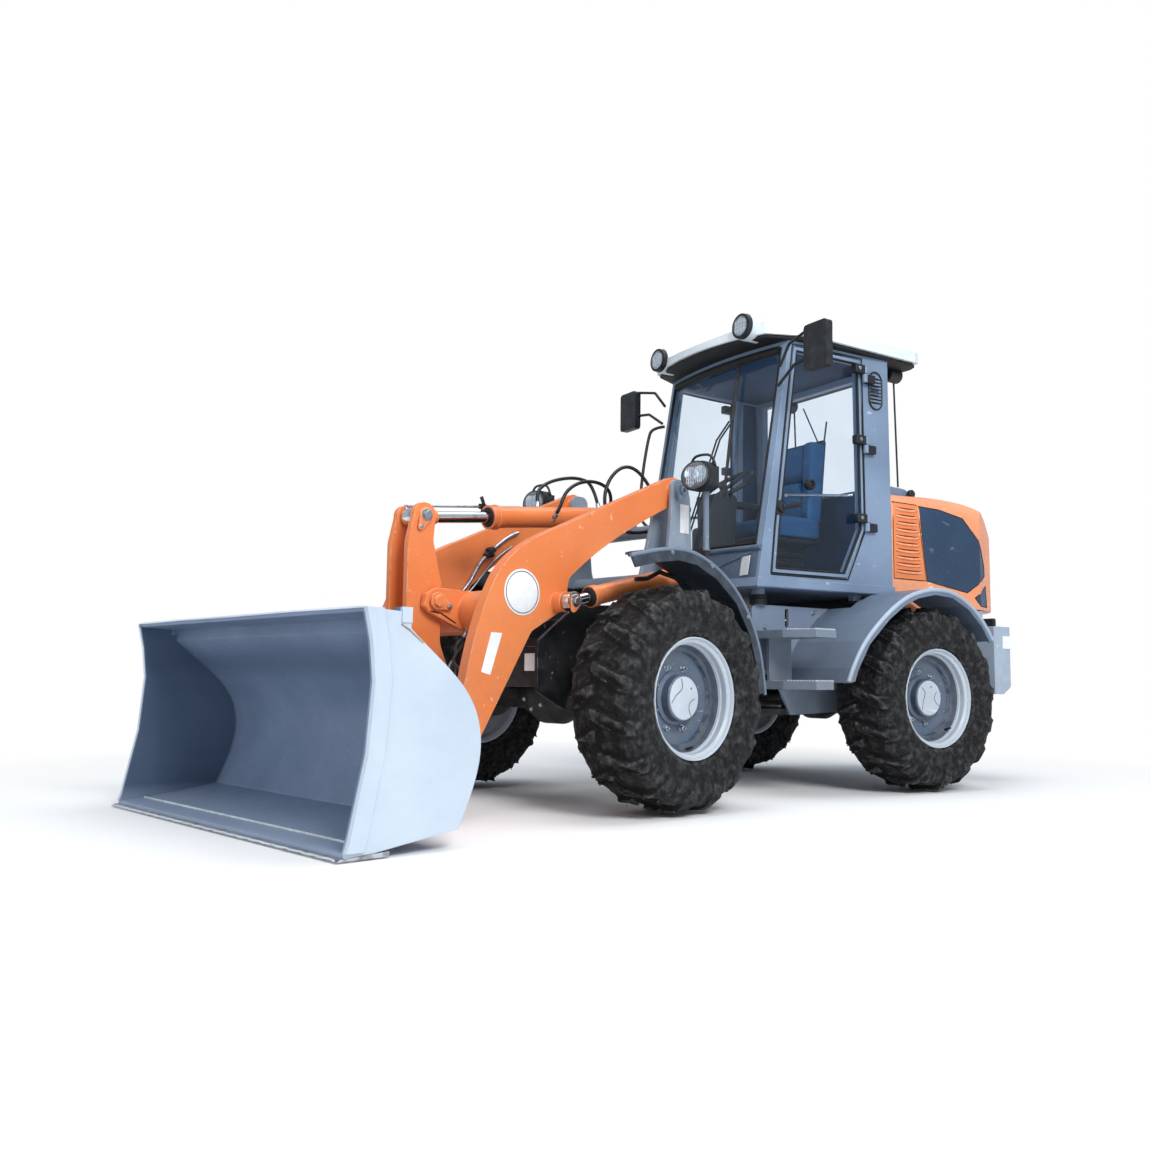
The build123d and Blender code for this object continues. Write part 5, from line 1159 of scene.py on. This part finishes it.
# the catch: knob, screws
knob = turned_part([(0, 0), (0.016, 0), (0.018, 0.006), (0.028, 0.010), (0.028, 0.030), (0.022, 0.036), (0, 0.036)],
                   24, at=(-1.415, 0.480, 1.828))
keep(both([knob]), "hood_catch_knobs", BLACK, "rear_half")
keep(both([bolt((-1.175, 0.4705, 1.822), 0.009, 0.006), bolt((-1.215, 0.4705, 1.826), 0.009, 0.006)]),
     "hood_catch_bolts", ZINC, "rear_half")
# the tail: grille wires that follow the skin's inside behind its slats, tail lamps and blank plates
TAIL_INSIDE = [(-2.3170, 1.160), (-2.3100, 1.240), (-2.2960, 1.330), (-2.2680, 1.430), (-2.2225, 1.530),
               (-2.2030, 1.562)]
mesh = [strip([(x, -0.34 + 0.04 * n, z) for x, z in TAIL_INSIDE], 0.003, "wire") for n in range(18)]
keep(joined(mesh), "grille_mesh", CHARCOAL, "rear_half")
lamp_backs = [block((0.030, 0.180, 0.090), (-2.352, 0.330, 1.030), 0.010, 3)]
keep(both(lamp_backs), "tail_lamp_backs", BLACK, "rear_half")
lenses = [block((0.014, 0.080, 0.070), (-2.370, 0.372, 1.030), 0.006, 3)]
keep(both(lenses), "tail_lamp_reds", RED_LENS, "rear_half")
ambers = [block((0.014, 0.066, 0.070), (-2.370, 0.292, 1.030), 0.006, 3)]
keep(both(ambers), "tail_lamp_ambers", AMBER_LENS, "rear_half")
label = block((0.095, 0.0015, 0.080), (-2.010, 0.7508, 0.890), 0)
tail_plate = block((0.0015, 0.300, 0.080), (-2.3605, 0.0, 0.880), 0)
keep(joined([label, tail_plate]), "blank_tail_plates", PLATE_WHITE, "rear_half")

# ---- roof and mirrors ----
x, z = -0.120, 2.700
for number, y in ((1, 0.404), (2, -0.404)):
    shell = turned_part([(0.0745, 0.0), (0.0790, 0.0), (0.0800, -0.010), (0.0795, -0.100), (0.0700, -0.135),
                         (0.0300, -0.152), (0.0, -0.156), (0.0, -0.122), (0.0745, -0.120)], 48, axis="X",
                        at=(x + 0.030, y, z))
    keep(shell, f"front_pod_cover_{number}", WHITE_ROOF, "rear_half")
    lens = turned_part([(0, 0.0), (0.061, 0.0), (0.060, 0.004), (0.040, 0.008), (0, 0.010)], 40, axis="X",
                       at=(x + 0.0592, y, z))
    keep(lens, f"front_pod_lens_{number}", LENS, "rear_half")
    ribs = [block((0.0030, 0.0035, 0.100 - 0.010 * abs(n)), (x + 0.0610, y + 0.0135 * n, z), 0) for n in range(-3, 4)]
    ribs += [block((0.0030, 0.100, 0.0030), (x + 0.0610, y, z + 0.02 * n), 0) for n in (-1, 0, 1)]
    keep(joined(ribs), f"front_pod_ribs_{number}", PLATE_WHITE, "rear_half")
    ring = turned_part([(0.058, 0.0), (0.066, 0.0), (0.066, 0.006), (0.058, 0.004)], 40, axis="X", closed=True,
                       at=(x + 0.0592, y, z))
    keep(ring, f"front_pod_ring_{number}", BLACK, "rear_half")
pads = [turned_part([(0, 0), (0.030, 0), (0.028, 0.012), (0.010, 0.020), (0, 0.020)], 24, axis="Z",
                    at=(-0.480, 0.300, 2.741))]
keep(both(pads), "roof_plugs", WHITE_ROOF, "rear_half")
glass = [block((0.002, 0.152, 0.236), (-0.2195, 0.890, 2.478), 0)]
keep(both(glass), "mirror_glass", CHROME, "rear_half")
clamps = [block((0.030, 0.052, 0.030), (-0.226, 0.878, 2.524), 0.010, 3),
          block((0.030, 0.052, 0.026), (-0.226, 0.878, 2.498), 0.008, 3)]
keep(both(clamps), "mirror_clamps", BLACK, "rear_half")

# ---- steps, mounts and underbody ----
teeth = []
for level, count in ((0.9055, 9), (0.6275, 8)):
    teeth += [block((0.010, 0.008, 0.010), (-0.160 - 0.0165 * n, 0.893, level), 0.002, 1) for n in range(count)]
for level in (0.9055, 0.6275):
    teeth += [block((0.010, 0.010, 0.008), (-0.155 + 0.0082 * n, 0.888 - 0.0145 * n, level), 0.002, 1)
              for n in range(10)]
keep(both(teeth), "step_teeth", WORN, "rear_half")
cups = [turned_part([(0.0385, 0.0), (0.050, 0.0), (0.052, 0.010), (0.046, 0.030), (0.052, 0.036), (0.052, 0.052),
                     (0.0385, 0.056)], 32, axis="Z", closed=True, at=(x, 0.440, 1.062)) for x in (-0.157, -0.950)]
keep(both(cups), "cab_mount_cups", SEAL, "rear_half")
heads = [bolt((x, 0.4505, z), 0.011, 0.007) for x, z in ((-0.584, 1.030), (-0.200, 0.930), (-0.560, 0.690),
                                                        (-0.240, 0.690))]
keep(both(heads), "frame_bolts", ZINC, "rear_half")
baffle = block((0.012, 1.190, 0.084), (-1.088, 0.0, 1.106), 0.004, 2)
sump = block((0.620, 0.420, 0.200), (-0.620, 0.0, 0.800), 0.050, 4)
keep(joined([baffle, sump]), "underbody_shields", CHARCOAL, "rear_half")
